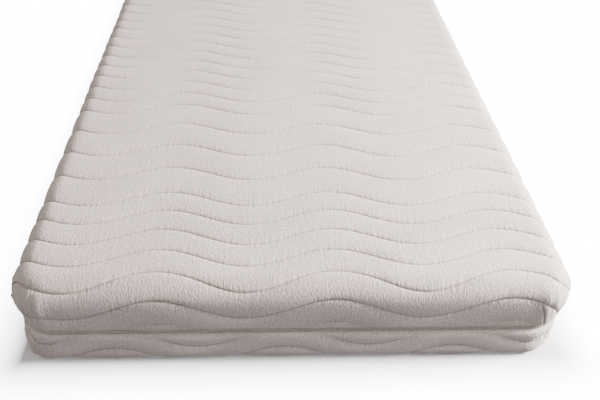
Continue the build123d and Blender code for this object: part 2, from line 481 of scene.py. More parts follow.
@dataclass
class Patch:
    """Vertices, faces and fabric coordinates of a mesh in the making."""

    points: list[np.ndarray] = field(default_factory=list)
    faces: list[tuple[int, ...]] = field(default_factory=list)
    fabric: list[np.ndarray] = field(default_factory=list)
    sewn: list[np.ndarray] = field(default_factory=list)
    count: int = 0

    def add(
        self, points: np.ndarray, fabric: np.ndarray, faces: list[tuple[int, ...]],
        sewn: np.ndarray | None = None,
    ) -> None:
        """Add vertices, and faces numbered from the first of them.

        Args:
            points: positions.
            fabric: coordinates in the cloth's own plane.
            faces: the faces.
            sewn: each point's distance from the nearest sewn row, if the cloth has rows.
        """
        self.points.append(points.reshape(-1, 3))
        self.fabric.append(fabric.reshape(-1, 2))
        far = np.full(self.points[-1].shape[0], 1.0)
        self.sewn.append(far if sewn is None else sewn.ravel())
        self.faces += [tuple(self.count + i for i in face) for face in faces]
        self.count += self.points[-1].shape[0]

    def object(self, name: str) -> bpy.types.Object:
        """Smooth-shaded object with its fabric coordinates as a UV map.

        Args:
            name: name of the object and its mesh.

        Returns:
            The object, linked to the scene.
        """
        mesh = bpy.data.meshes.new(name)
        mesh.from_pydata(np.concatenate(self.points).tolist(), [], self.faces)
        mesh.uv_layers.new(name="fabric")
        corner = np.empty(len(mesh.loops), dtype=np.int32)
        mesh.loops.foreach_get("vertex_index", corner)
        mesh.uv_layers["fabric"].data.foreach_set("uv", np.concatenate(self.fabric)[corner].ravel())
        near = np.concatenate(self.sewn)
        # The first attribute masks painted shade down each sewn row; the second spreads the gathers' bump
        # beside the rows
        for attribute, width, power in (("crease_shade", 1.6 * MM, 2), ("pucker", 11 * MM, 1)):
            layer = mesh.attributes.new(attribute, "FLOAT", "POINT")
            layer.data.foreach_set("value", np.exp(-((near / width) ** power)).astype(np.float32))
        mesh.shade_smooth()
        obj = bpy.data.objects.new(name, mesh)
        bpy.context.scene.collection.objects.link(obj)
        tidy_loose(obj)
        return obj


def tidy_loose(obj: bpy.types.Object) -> None:
    """Remove vertices that no face uses.

    Args:
        obj: object whose mesh is cleaned.
    """
    work = bmesh.new()
    work.from_mesh(obj.data)
    loose = [v for v in work.verts if not v.link_faces]
    bmesh.ops.delete(work, geom=loose, context="VERTS")
    work.to_mesh(obj.data)
    work.free()


def ring_faces(keep: np.ndarray, flip: bool) -> list[tuple[int, ...]]:
    """Faces of a grid, where vertices of a column that coincide are one.

    Args:
        keep: the vertex that stands for each grid point, rows by columns.
        flip: whether the faces turn the other way.

    Returns:
        The faces, without any that have no area.
    """
    faces = []
    low, high = keep[:-1], keep[1:]
    for a, b, c, d in zip(low[:, :-1].ravel(), low[:, 1:].ravel(), high[:, 1:].ravel(), high[:, :-1].ravel()):
        face = tuple(dict.fromkeys((int(a), int(b), int(c), int(d))))
        if len(face) > 2:
            faces.append(face[::-1] if flip else face)
    return faces


def shell(patch: Patch, cloth: Cloth, outer: Skin, inner: Skin) -> None:
    """Add a closed shell: an outer side, an inner side, and the edge that joins them at the hem.

    Args:
        patch: the mesh it is added to.
        cloth: grid of fabric points.
        outer: side that faces out.
        inner: side that faces in.
    """
    across, along = cloth.points()
    rows, columns = across.shape
    keep = np.arange(rows * columns).reshape(rows, columns)
    for row in range(1, rows):
        same = along[row] - along[row - 1] < 0.02 * MM
        keep[row] = np.where(same, keep[row - 1], keep[row])
    fabric = np.stack([across, along], -1)
    sewn = np.ones_like(across)
    if cloth.quilting:
        fabric = np.stack(cloth.quilting.fabric(cloth.outline, across, along), -1)
        _, sewn = cloth.quilting.puff(cloth.quilting.level(fabric[..., 0], fabric[..., 1]))
        reach = cloth.outline.spread(across, along)["reach"]
        left = cloth.reaches[cloth.free_reaches] - reach
        # Distance that drives the painted row shade: set a little off every row, and faded out at the hem
        sewn = sewn + 0.5 * MM + 4 * MM * np.clip(1 - left / (5 * MM), 0.0, 1.0)
    up = outer.rim.facing > 0
    faces = ring_faces(keep, not up) + ring_faces(keep + keep.size, up)
    edge = [*keep[0, :], *keep[1:, -1], *keep[-1, -2::-1], *keep[-2:0:-1, 0]]
    edge = [int(v) for v in dict.fromkeys(int(v) for v in edge)]
    for a, b in zip(edge, edge[1:] + edge[:1]):
        face = (b, a, a + keep.size, b + keep.size)
        faces.append(face if up else face[::-1])
    points = np.stack([outer.places(cloth, across, along), inner.places(cloth, across, along)])
    patch.add(points, np.stack([fabric, fabric]), faces, np.stack([sewn, sewn]))


# ---------------------------------------------------------------- finishes


class Graph:
    """Short calls for building a node tree."""

    def __init__(self, tree: bpy.types.NodeTree) -> None:
        """Work on a tree."""
        self.tree = tree

    def node(
        self, kind: str, inputs: dict[int | str, object] | None = None, **settings: object
    ) -> bpy.types.Node:
        """Add a node.

        Args:
            kind: the node's type.
            inputs: a value or an output socket for each input, by name or number.
            settings: the node's own properties.

        Returns:
            The node.
        """
        node = self.tree.nodes.new(kind)
        for key, value in settings.items():
            setattr(node, key, value)
        for key, value in (inputs or {}).items():
            if isinstance(value, bpy.types.NodeSocket):
                self.tree.links.new(value, node.inputs[key])
            else:
                node.inputs[key].default_value = value
        return node

    def math(self, operation: str, *values: object) -> bpy.types.NodeSocket:
        """Output of a Math node on up to three values or sockets."""
        return self.node("ShaderNodeMath", dict(enumerate(values)), operation=operation).outputs[0]

    def vector(self, operation: str, *values: object) -> bpy.types.NodeSocket:
        """Output of a Vector Math node."""
        return self.node("ShaderNodeVectorMath", dict(enumerate(values)), operation=operation).outputs[0]

    def noise(self, where: bpy.types.NodeSocket, scale: float, detail: float = 2.0) -> bpy.types.NodeSocket:
        """Noise value at a place."""
        inputs = {"Vector": where, "Scale": scale, "Detail": detail}
        return self.node("ShaderNodeTexNoise", inputs).outputs["Fac"]

    def ramp(
        self, value: bpy.types.NodeSocket, dark: tuple[float, float, float],
        light: tuple[float, float, float], low: float = 0.3, high: float = 0.7,
    ) -> bpy.types.NodeSocket:
        """Colour between two as a value goes from low to high.

        Args:
            value: what drives the colour.
            dark: colour at the low end.
            light: colour at the high end.
            low: value at which the dark colour ends.
            high: value at which the light colour starts.

        Returns:
            The colour.
        """
        ramp = self.node("ShaderNodeValToRGB", {"Fac": value})
        ramp.color_ramp.elements[0].position, ramp.color_ramp.elements[1].position = low, high
        ramp.color_ramp.elements[0].color, ramp.color_ramp.elements[1].color = (*dark, 1), (*light, 1)
        return ramp.outputs["Color"]

    def bump(
        self, height: bpy.types.NodeSocket, distance: float, strength: float = 1.0,
        under: bpy.types.NodeSocket | None = None,
    ) -> bpy.types.NodeSocket:
        """Normal roughened by a height, over another normal where one is given.

        Args:
            height: what stands off the surface.
            distance: its full height in metres.
            strength: how much of it shows.
            under: normal that it lies over.

        Returns:
            The normal.
        """
        inputs: dict[int | str, object] = {"Height": height, "Distance": distance, "Strength": strength}
        if under is not None:
            inputs["Normal"] = under
        return self.node("ShaderNodeBump", inputs).outputs["Normal"]


def shade(colour: tuple[float, float, float], factor: float) -> tuple[float, float, float]:
    """A colour made darker or lighter."""
    return tuple(min(c * factor, 1.0) for c in colour)


@dataclass(frozen=True)
class Finish:
    """A surface finish: its colour and shine, and the pattern that each kind adds."""

    name: str
    colour: tuple[float, float, float]
    roughness: float = 0.8
    metallic: float = 0.0
    sheen: float = 0.0

    def pattern(self, graph: Graph, place: bpy.types.NodeSocket, shader: bpy.types.Node) -> None:
        """Add the finish's detail to its shader.

        Args:
            graph: the material's tree.
            place: coordinates in metres.
            shader: the Principled shader.
        """
        raise NotImplementedError

    def place(self, graph: Graph) -> bpy.types.NodeSocket:
        """Coordinates that the pattern follows."""
        return graph.node("ShaderNodeTexCoord").outputs["Object"]

    def material(self) -> bpy.types.Material:
        """The finish as a material, made once.

        Returns:
            The material.
        """
        known = bpy.data.materials.get(self.name)
        if known:
            return known
        made = bpy.data.materials.new(self.name)
        made.use_nodes = True
        made.diffuse_color = (*self.colour, 1)
        graph = Graph(made.node_tree)
        shader = made.node_tree.nodes["Principled BSDF"]
        shader.inputs["Base Color"].default_value = (*self.colour, 1)
        shader.inputs["Roughness"].default_value = self.roughness
        shader.inputs["Metallic"].default_value = self.metallic
        shader.inputs["Sheen Weight"].default_value = self.sheen
        shader.inputs["Sheen Roughness"].default_value = 0.5
        self.pattern(graph, self.place(graph), shader)
        return made

    def dress(self, obj: bpy.types.Object) -> None:
        """Give an object this finish alone."""
        obj.data.materials.clear()
        obj.data.materials.append(self.material())


@dataclass(frozen=True)
class CrepeKnit(Finish):
    """Crinkled stretch knit in the cloth's own plane: slanted crepe, fine loops, puckers at the rows."""

    crepe: float = 2.3 * MM
    slant: float = 22.0
    loop: float = 1.1 * MM

    def place(self, graph: Graph) -> bpy.types.NodeSocket:
        """The cloth's own plane."""
        return graph.node("ShaderNodeUVMap", uv_map="fabric").outputs["UV"]

    def wrinkles(
        self, graph: Graph, place: bpy.types.NodeSocket, slant: float, scale: float
    ) -> bpy.types.NodeSocket:
        """Short wrinkles that slant one way.

        Args:
            graph: the material's tree.
            place: coordinates in the cloth.
            slant: angle from the cloth's length in degrees.
            scale: wrinkles to the metre.

        Returns:
            Their height, from 0 to 1.
        """
        turned = graph.node("ShaderNodeMapping", {"Vector": place, "Rotation": (0, 0, radians(slant)),
                                                 "Scale": (1.0, 0.42, 1.0)}).outputs["Vector"]
        return graph.noise(turned, scale, 2.5)

    def pattern(self, graph: Graph, place: bpy.types.NodeSocket, shader: bpy.types.Node) -> None:
        """Crepe from two slants, loops, puckers beside the rows, and painted shade that darkens a line in
        each row.

        Args:
            graph: the material's tree.
            place: coordinates in metres.
            shader: the Principled shader.
        """
        crease_shade = graph.node("ShaderNodeAttribute", attribute_name="crease_shade").outputs["Fac"]
        pucker = graph.node("ShaderNodeAttribute", attribute_name="pucker").outputs["Fac"]
        left = self.wrinkles(graph, place, self.slant, 1 / self.crepe)
        right = self.wrinkles(graph, place, -self.slant * 0.8, 0.8 / self.crepe)
        crepe = graph.math("MULTIPLY_ADD", left, 0.6, graph.math("MULTIPLY", right, 0.4))
        axes = graph.node("ShaderNodeSeparateXYZ", {"Vector": place})
        loops_x = graph.math("SINE", graph.math("MULTIPLY", axes.outputs["X"], 2 * pi / self.loop))
        loops_y = graph.math("SINE", graph.math("MULTIPLY", axes.outputs["Y"], 2 * pi / self.loop))
        loops = graph.math("MULTIPLY", loops_x, loops_y)
        gathered = graph.node("ShaderNodeMapping",
                              {"Vector": place, "Scale": (1.0, 0.16, 1.0)}).outputs["Vector"]
        gathers = graph.math("MULTIPLY", graph.noise(gathered, 170.0, 1.0), pucker)
        blotch = graph.noise(place, 9.0, 3.0)
        tone = graph.math("ADD", graph.math("MULTIPLY", crepe, 0.8), graph.math("MULTIPLY", blotch, 0.2))
        cloth = graph.ramp(tone, shade(self.colour, 0.72), shade(self.colour, 1.12), 0.36, 0.64)
        # Painted shade: the base colour is darkened down the sewn rows by the crease mask
        graph.tree.links.new(self.paint_crease_shade(graph, cloth, crease_shade), shader.inputs["Base Color"])
        under = graph.bump(gathers, 3.0 * MM, 0.8)
        under = graph.bump(crepe, 2.0 * MM, 1.0, under)
        under = graph.bump(loops, 0.10 * MM, 0.5, under)
        graph.tree.links.new(under, shader.inputs["Normal"])

    def paint_crease_shade(
        self, graph: Graph, cloth: bpy.types.NodeSocket, crease_shade: bpy.types.NodeSocket
    ) -> bpy.types.NodeSocket:
        """The cloth's colour with painted shade, darker down in the sewn rows."""
        # Painted shade: up to 62% darker where the crease mask is full
        keep = graph.math("SUBTRACT", 1.0, graph.math("MULTIPLY", crease_shade, 0.62))
        return graph.node("ShaderNodeVectorMath", {0: cloth, "Scale": keep}, operation="SCALE").outputs[0]


@dataclass(frozen=True)
class Fibre(Finish):
    """Loose or felted fibre: soft lumps, and streaks of fibre."""

    lump: float = 12.0 * MM
    hair: float = 1.2 * MM
    depth: float = 1.0 * MM

    def pattern(self, graph: Graph, place: bpy.types.NodeSocket, shader: bpy.types.Node) -> None:
        """Lumps under streaks of fibre.

        Args:
            graph: the material's tree.
            place: coordinates in metres.
            shader: the Principled shader.
        """
        lumps = graph.noise(place, 1 / self.lump, 4.0)
        stretched = graph.vector("MULTIPLY", place, (1.0, 0.22, 1.0))
        hairs = graph.noise(graph.vector("ADD", stretched, graph.vector("MULTIPLY", place, (0.1, 0.3, 0.1))),
                            1 / self.hair, 4.0)
        colour = graph.ramp(hairs, shade(self.colour, 0.88), shade(self.colour, 1.03))
        graph.tree.links.new(colour, shader.inputs["Base Color"])
        under = graph.bump(lumps, self.depth, 0.8)
        graph.tree.links.new(graph.bump(hairs, 0.3 * MM, 0.7, under), shader.inputs["Normal"])


@dataclass(frozen=True)
class Weave(Finish):
    """Fine cloth of crossing yarns in the piece's own plane: tape, sleeve or seam."""

    yarn: float = 0.8 * MM
    slant: float = 1.0
    depth: float = 0.2 * MM

    def place(self, graph: Graph) -> bpy.types.NodeSocket:
        """The cloth's own plane."""
        return graph.node("ShaderNodeUVMap", uv_map="fabric").outputs["UV"]

    def pattern(self, graph: Graph, place: bpy.types.NodeSocket, shader: bpy.types.Node) -> None:
        """Yarns along the cloth, with slanted crossings.

        Args:
            graph: the material's tree.
            place: coordinates in metres.
            shader: the Principled shader.
        """
        axes = graph.node("ShaderNodeSeparateXYZ", {"Vector": place})
        along, across = axes.outputs["X"], axes.outputs["Y"]
        turn = 2 * pi / self.yarn
        slanted = graph.math("ADD", along, graph.math("MULTIPLY", across, self.slant))
        yarns = graph.math("SINE", graph.math("MULTIPLY", slanted, turn))
        cross = graph.math("SINE", graph.math("MULTIPLY", across, turn * 0.9))
        relief = graph.math("MULTIPLY_ADD", yarns, 0.5, graph.math("MULTIPLY", cross, 0.35))
        fuzz = graph.noise(place, 900.0, 3.0)
        height = graph.math("ADD", relief, fuzz)
        colour = graph.ramp(height, shade(self.colour, 0.84), shade(self.colour, 1.04), -0.1, 1.2)
        graph.tree.links.new(colour, shader.inputs["Base Color"])
        graph.tree.links.new(graph.bump(height, self.depth, 0.8), shader.inputs["Normal"])


@dataclass(frozen=True)
class Foam(Finish):
    """Open-cell foam: pores of several sizes on a cut face."""

    pore: float = 1.6 * MM

    def pattern(self, graph: Graph, place: bpy.types.NodeSocket, shader: bpy.types.Node) -> None:
        """Pores that are darker and sunk, with a slow change of tone.

        Args:
            graph: the material's tree.
            place: coordinates in metres.
            shader: the Principled shader.
        """
        cells = graph.node("ShaderNodeTexVoronoi",
                           {"Vector": place, "Scale": 1 / self.pore}).outputs["Distance"]
        large = graph.node("ShaderNodeTexVoronoi",
                           {"Vector": place, "Scale": 0.3 / self.pore}).outputs["Distance"]
        pores = graph.math("MINIMUM", cells, graph.math("MULTIPLY", large, 1.8))
        tone = graph.math("ADD", pores, graph.math("MULTIPLY", graph.noise(place, 7.0, 3.0), 0.4))
        colour = graph.ramp(tone, shade(self.colour, 0.72), self.colour, 0.15, 0.6)
        graph.tree.links.new(colour, shader.inputs["Base Color"])
        graph.tree.links.new(graph.bump(pores, 0.5 * MM, 0.8), shader.inputs["Normal"])


@dataclass(frozen=True)
class Thread(Finish):
    """Spun polyester thread: plies that twist along it."""

    ply: float = 0.5 * MM

    def pattern(self, graph: Graph, place: bpy.types.NodeSocket, shader: bpy.types.Node) -> None:
        """Slanted plies and a little fuzz.

        Args:
            graph: the material's tree.
            place: coordinates in metres.
            shader: the Principled shader.
        """
        axes = graph.node("ShaderNodeSeparateXYZ", {"Vector": place})
        slanted = graph.math("ADD", axes.outputs["X"],
                             graph.math("ADD", axes.outputs["Y"], axes.outputs["Z"]))
        plies = graph.math("SINE", graph.math("MULTIPLY", slanted, 2 * pi / self.ply))
        colour = graph.ramp(plies, shade(self.colour, 0.86), shade(self.colour, 1.03), -0.6, 0.8)
        graph.tree.links.new(colour, shader.inputs["Base Color"])
        graph.tree.links.new(graph.bump(plies, 0.08 * MM, 0.6), shader.inputs["Normal"])


@dataclass(frozen=True)
class Moulded(Finish):
    """Moulded nylon or acetal: faint flow marks and a soft shine."""

    def pattern(self, graph: Graph, place: bpy.types.NodeSocket, shader: bpy.types.Node) -> None:
        """Faint mottling in colour, shine and surface.

        Args:
            graph: the material's tree.
            place: coordinates in metres.
            shader: the Principled shader.
        """
        flow = graph.noise(place, 700.0, 3.0)
        colour = graph.ramp(flow, shade(self.colour, 0.93), shade(self.colour, 1.03))
        graph.tree.links.new(colour, shader.inputs["Base Color"])
        gloss = graph.math("MULTIPLY_ADD", flow, 0.22, self.roughness - 0.11)
        graph.tree.links.new(gloss, shader.inputs["Roughness"])
        graph.tree.links.new(graph.bump(flow, 0.05 * MM, 0.5), shader.inputs["Normal"])


@dataclass(frozen=True)
class DieCast(Finish):
    """Satin die-cast metal: fine grain, brighter where handling has rubbed it."""

    def pattern(self, graph: Graph, place: bpy.types.NodeSocket, shader: bpy.types.Node) -> None:
        """Grain, rubbed patches and tiny scratches.

        Args:
            graph: the material's tree.
            place: coordinates in metres.
            shader: the Principled shader.
        """
        grain = graph.noise(place, 2600.0, 4.0)
        rubbed = graph.noise(place, 260.0, 2.0)
        scratches = graph.noise(graph.vector("MULTIPLY", place, (1.0, 0.08, 1.0)), 3800.0, 2.0)
        colour = graph.ramp(rubbed, shade(self.colour, 0.78), shade(self.colour, 1.12), 0.35, 0.65)
        graph.tree.links.new(colour, shader.inputs["Base Color"])
        gloss = graph.math("MULTIPLY_ADD", rubbed, -0.18, self.roughness + 0.09)
        graph.tree.links.new(gloss, shader.inputs["Roughness"])
        under = graph.bump(grain, 0.03 * MM, 0.6)
        graph.tree.links.new(graph.bump(scratches, 0.02 * MM, 0.5, under), shader.inputs["Normal"])


@dataclass(frozen=True)
class Plaster(Finish):
    """Pale studio floor: an even matt coat, lit from below away from the middle."""

    glow: float = 30.0
    clear: float = 0.0
    reach: float = 0.20
    middle: tuple[float, float, float] = (0.45, 1.0, 0.0)

    def pattern(self, graph: Graph, place: bpy.types.NodeSocket, shader: bpy.types.Node) -> None:
        """Barely uneven tone, and a glow that grows away from the middle.

        Args:
            graph: the material's tree.
            place: coordinates in metres.
            shader: the Principled shader.
        """
        colour = graph.ramp(graph.noise(place, 1.2, 2.0), shade(self.colour, 0.985), self.colour)
        graph.tree.links.new(colour, shader.inputs["Base Color"])
        past = graph.vector("SUBTRACT", graph.vector("ABSOLUTE", place), self.middle)
        past = graph.vector("MAXIMUM", past, (0.0, 0.0, 0.0))
        distance = graph.node("ShaderNodeVectorMath", {0: past}, operation="LENGTH").outputs["Value"]
        # The glow is nothing at the mattress's outline and full 0.2 m out, so the floor close round it stays
        # darker: a painted soft contact shadow
        share = graph.node("ShaderNodeMapRange", {"Value": distance, "From Min": self.clear,
                                                  "From Max": self.reach, "To Max": self.glow}).outputs[0]
        shader.inputs["Emission Color"].default_value = (1, 1, 1, 1)
        graph.tree.links.new(share, shader.inputs["Emission Strength"])


KNIT = CrepeKnit("crepe knit", (0.70, 0.585, 0.54), roughness=0.9, sheen=0.25)
WADDING = Fibre("fibre wadding", (0.86, 0.85, 0.82), roughness=0.95, sheen=0.3)
BACKING = Fibre("non-woven backing", (0.78, 0.76, 0.72), roughness=0.9, lump=4 * MM, hair=0.7 * MM,
                depth=0.3 * MM)
SEAM = Weave("seam allowance", (0.66, 0.61, 0.57), roughness=0.9, sheen=0.2)
# Painted shade: the zip tape gets a dark colour that stands for the shadow in the gaps between the hems and
# the coil
PAINTED_SHADE_TAPE = Weave("woven zip tape", (0.36, 0.31, 0.285), roughness=0.85, yarn=0.7 * MM, slant=0.9)
SLEEVE = Weave("knitted sleeve", (0.80, 0.80, 0.78), roughness=0.92, yarn=1.1 * MM, slant=0.5, sheen=0.2)
THREAD = Thread("sewing thread", (0.62, 0.54, 0.50), roughness=0.6)
COIL = Moulded("nylon coil", (0.95, 0.86, 0.76), roughness=0.42)
ENDS = Moulded("moulded zip ends", (0.60, 0.57, 0.52), roughness=0.36)
METAL = DieCast("satin die-cast metal", (0.50, 0.50, 0.49), roughness=0.34, metallic=1.0)
VISCO = Foam("viscoelastic foam", (0.80, 0.70, 0.45), roughness=0.95, pore=1.0 * MM)
SUPPORT = Foam("resilient foam", (0.45, 0.60, 0.68), roughness=0.95, pore=1.6 * MM)
FIRM = Foam("firm foam", (0.58, 0.59, 0.62), roughness=0.95, pore=1.3 * MM)
SOFT = Foam("soft heel foam", (0.68, 0.56, 0.66), roughness=0.95, pore=1.8 * MM)
FLOOR = Plaster("studio floor", (0.86, 0.86, 0.86), roughness=0.9)


# ---------------------------------------------------------------- what repeats along a line


@dataclass(frozen=True)
class Repeated:
    """Geometry Nodes tree that sets a small element along guide lines at an even pitch."""

    name: str
    pitch: float

    def element(self, graph: Graph, size: dict[str, bpy.types.NodeSocket]) -> bpy.types.NodeSocket:
        """Geometry of one element, lying along X."""
        raise NotImplementedError

    def sizes(self) -> dict[str, float]:
        """Named sizes that the tree takes."""
        raise NotImplementedError

    def along(
        self, name: str, lines: list[np.ndarray], finish: Finish, body: str, closed: bool = False
    ) -> bpy.types.Object:
        """Make the elements along guide lines as one plain mesh.

        Args:
            name: name of the piece.
            lines: positions along each guide line.
            finish: finish of the elements.
            body: body that the piece rides on.
            closed: whether each line's last point joins its first.

        Returns:
            The piece, riding on its body.
        """
        guide = bpy.data.meshes.new(name + "_guide")
        edges, points, start = [], [], 0
        for line in lines:
            count = len(line)
            points += line.tolist()
            edges += [(start + i, start + i + 1) for i in range(count - 1)]
            if closed:
                edges.append((start + count - 1, start))
            start += count
        guide.from_pydata(points, edges, [])
        carrier = bpy.data.objects.new(name + "_guide", guide)
        bpy.context.scene.collection.objects.link(carrier)
        tree = self.tree(finish)
        modifier = carrier.modifiers.new(self.name, "NODES")
        modifier.node_group = tree
        values = {"Pitch": self.pitch, **self.sizes()}
        for item in tree.interface.items_tree:
            if item.item_type == "SOCKET" and item.in_out == "INPUT" and item.name in values:
                modifier[item.identifier] = values[item.name]
        bpy.context.view_layer.update()
        ready = carrier.evaluated_get(bpy.context.evaluated_depsgraph_get())
        mesh = bpy.data.meshes.new_from_object(ready)
        mesh.name = name
        carrier.modifiers.clear()
        bpy.data.objects.remove(carrier)
        bpy.data.meshes.remove(guide)
        piece = bpy.data.objects.new(name, mesh)
        bpy.context.scene.collection.objects.link(piece)
        if not mesh.materials:
            mesh.materials.append(finish.material())
        mesh.shade_smooth()
        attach(piece, body)
        return piece

    def tree(self, finish: Finish) -> bpy.types.NodeTree:
        """The tree: guide to curve, even points, an element on each, made real and given its finish.

        Args:
            finish: finish of the elements.

        Returns:
            The node tree.
        """
        tree = bpy.data.node_groups.new(f"{self.name} {finish.name}", "GeometryNodeTree")
        face = tree.interface
        face.new_socket("Geometry", in_out="INPUT", socket_type="NodeSocketGeometry")
        face.new_socket("Pitch", in_out="INPUT", socket_type="NodeSocketFloat")
        for size in self.sizes():
            face.new_socket(size, in_out="INPUT", socket_type="NodeSocketFloat")
        face.new_socket("Geometry", in_out="OUTPUT", socket_type="NodeSocketGeometry")
        graph = Graph(tree)
        start = graph.node("NodeGroupInput")
        curve = graph.node("GeometryNodeMeshToCurve", {0: start.outputs["Geometry"]})
        even = graph.node("GeometryNodeResampleCurve",
                          {"Curve": curve.outputs[0], "Length": start.outputs["Pitch"]}, mode="LENGTH")
        tangent = graph.node("GeometryNodeInputTangent").outputs[0]
        turn = graph.node("FunctionNodeAlignRotationToVector", {"Vector": tangent},
                          axis="X", pivot_axis="AUTO")
        sizes = {name: start.outputs[name] for name in ("Pitch", *self.sizes())}
        spread = graph.node("GeometryNodeInstanceOnPoints", {
            "Points": even.outputs[0], "Instance": self.element(graph, sizes),
            "Rotation": self.rotation(graph, tangent, turn.outputs[0])})
        real = graph.node("GeometryNodeRealizeInstances", {0: spread.outputs[0]})
        dressed = graph.node("GeometryNodeSetMaterial", {0: real.outputs[0], "Material": finish.material()})
        end = graph.node("NodeGroupOutput")
        tree.links.new(dressed.outputs[0], end.inputs[0])
        return tree

    def rotation(
        self, graph: Graph, tangent: bpy.types.NodeSocket, along: bpy.types.NodeSocket
    ) -> bpy.types.NodeSocket:
        """Rotation of each element: by default its X lies along the line."""
        return along


@dataclass(frozen=True)
class Stitches(Repeated):
    """Sewing stitches: short plump lengths of thread."""

    length: float = 6.0 * MM
    thick: float = 0.9 * MM

    def sizes(self) -> dict[str, float]:
        """Length and thickness of a stitch."""
        return {"Stitch Length": self.length, "Stitch Thickness": self.thick}

    def element(self, graph: Graph, size: dict[str, bpy.types.NodeSocket]) -> bpy.types.NodeSocket:
        """A lens of thread, half sunk in the cloth.

        Args:
            graph: the piece's node tree.
            size: the sizes by name.

        Returns:
            The element's geometry.
        """
        ball = graph.node("GeometryNodeMeshIcoSphere", {"Radius": 0.5, "Subdivisions": 1})
        shape = graph.node("ShaderNodeCombineXYZ", {0: size["Stitch Length"], 1: size["Stitch Thickness"],
                                                    2: size["Stitch Thickness"]})
        return graph.node("GeometryNodeTransform", {"Geometry": ball.outputs[0],
                                                    "Scale": shape.outputs[0]}).outputs[0]


@dataclass(frozen=True)
class CoilTeeth(Repeated):
    """Turns of a nylon zip coil, each a loop that stands across the line."""

    depth: float = 1.9 * MM
    rise: float = 2.0 * MM
    wire: float = 1.2 * MM
    lean: float = 0.45

    def sizes(self) -> dict[str, float]:
        """Depth and rise of a turn, its wire and its lean."""
        return {"Depth": self.depth, "Rise": self.rise, "Wire": self.wire, "Lean": self.lean}

    def element(self, graph: Graph, size: dict[str, bpy.types.NodeSocket]) -> bpy.types.NodeSocket:
        """An oval turn of wire, leaning along the line.

        Args:
            graph: the piece's node tree.
            size: the sizes by name.

        Returns:
            The element's geometry.
        """
        turn = graph.node("GeometryNodeCurvePrimitiveCircle", {"Resolution": 9, "Radius": 0.5}, mode="RADIUS")
        lying = graph.node("GeometryNodeTransform",
                           {"Geometry": turn.outputs[0], "Rotation": (0, radians(90), 0)})
        stretch = graph.node("ShaderNodeCombineXYZ", {0: 1.0, 1: size["Depth"], 2: size["Rise"]})
        oval = graph.node("GeometryNodeTransform",
                          {"Geometry": lying.outputs[0], "Scale": stretch.outputs[0]})
        slope = graph.node("ShaderNodeCombineXYZ", {2: size["Lean"]})
        leant = graph.node("GeometryNodeTransform",
                           {"Geometry": oval.outputs[0], "Rotation": slope.outputs[0]})
        radius = graph.math("MULTIPLY", size["Wire"], 0.5)
        wire = graph.node("GeometryNodeCurvePrimitiveCircle", {"Resolution": 3, "Radius": radius},
                          mode="RADIUS")
        return graph.node("GeometryNodeCurveToMesh", {0: leant.outputs[0], 1: wire.outputs[0]}).outputs[0]

    def rotation(
        self, graph: Graph, tangent: bpy.types.NodeSocket, along: bpy.types.NodeSocket
    ) -> bpy.types.NodeSocket:
        """Turned about the upright only, so that every loop stands up.

        Args:
            graph: the piece's node tree.
            tangent: direction of the line.
            along: rotation that lays X along the line; not used here.

        Returns:
            The rotation of each element.
        """
        axes = graph.node("ShaderNodeSeparateXYZ", {0: tangent})
        heading = graph.math("ARCTAN2", axes.outputs[1], axes.outputs[0])
        return graph.node("FunctionNodeEulerToRotation",
                          {0: graph.node("ShaderNodeCombineXYZ", {2: heading}).outputs[0]}).outputs[0]


# ---------------------------------------------------------------- shared places


def size_of(node: str) -> tuple[Vector, Vector]:
    """Lowest and highest corners of a CAD node."""
    low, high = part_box(node)
    return Vector(low), Vector(high)


def inset_line(points: list[tuple[float, float]], distance: float, facing: int) -> list[tuple[float, float]]:
    """A section line moved inwards along its normals.

    Args:
        points: the line as (depth, height), from the face's middle to the hem.
        distance: how far in.
        facing: 1 if the face looks up, -1 if it looks down.

    Returns:
        The moved line.
    """
    line = np.array(points)
    ahead = np.vstack([line[1:], line[-1:]])
    behind = np.vstack([line[:1], line[:-1]])
    course = ahead - behind
    course /= np.maximum(np.hypot(course[:, 0], course[:, 1]), 1e-9)[:, None]
    inward = facing * np.stack([-course[:, 1], course[:, 0]], -1)
    moved = line + distance * inward
    return [tuple(point) for point in moved.tolist()]


@dataclass(frozen=True)
class Route:
    """The line round the mattress's side at one depth, from a place on the +X side back to another."""

    outline: Outline
    inset: float
    start: float
    end: float
    step: float = 12.0 * MM
    arc_steps: int = 16

    def stations(self) -> np.ndarray:
        """Places and outward directions: x, y, out x and out y in columns.

        Returns:
            One row for each place.
        """
        out, arc_x, arc_y = self.outline.corner - self.inset, self.outline.arc_x, self.outline.arc_y
        side = self.outline.width / 2 - self.inset
        end = self.outline.length / 2 - self.inset
        rows: list[tuple[float, float, float, float]] = []

        def straight(a: tuple[float, float], b: tuple[float, float], normal: tuple[float, float]) -> None:
            """Add places along a straight run."""
            count = max(int(np.hypot(b[0] - a[0], b[1] - a[1]) / self.step), 1)
            for i in range(count):
                share = i / count
                rows.append((a[0] + (b[0] - a[0]) * share, a[1] + (b[1] - a[1]) * share, *normal))

        def corner(cx: float, cy: float, first: float) -> None:
            """Add places round a quarter turn."""
            for i in range(self.arc_steps):
                turn = radians(first + 90 * i / self.arc_steps)
                rows.append((cx + out * cos(turn), cy + out * sin(turn), cos(turn), sin(turn)))

        straight((side, self.start), (side, arc_y), (1, 0))
        corner(arc_x, arc_y, 0)
        straight((arc_x, end), (-arc_x, end), (0, 1))
        corner(-arc_x, arc_y, 90)
        straight((-side, arc_y), (-side, -arc_y), (-1, 0))
        corner(-arc_x, -arc_y, 180)
        straight((-arc_x, -end), (arc_x, -end), (0, -1))
        corner(arc_x, -arc_y, 270)
        straight((side, -arc_y), (side, self.end), (1, 0))
        rows.append((side, self.end, 1, 0))
        return np.array(rows)

    def line(self, height: float) -> np.ndarray:
        """Positions along the route at a height."""
        places = self.stations()
        return np.column_stack([places[:, 0], places[:, 1], np.full(len(places), height)])


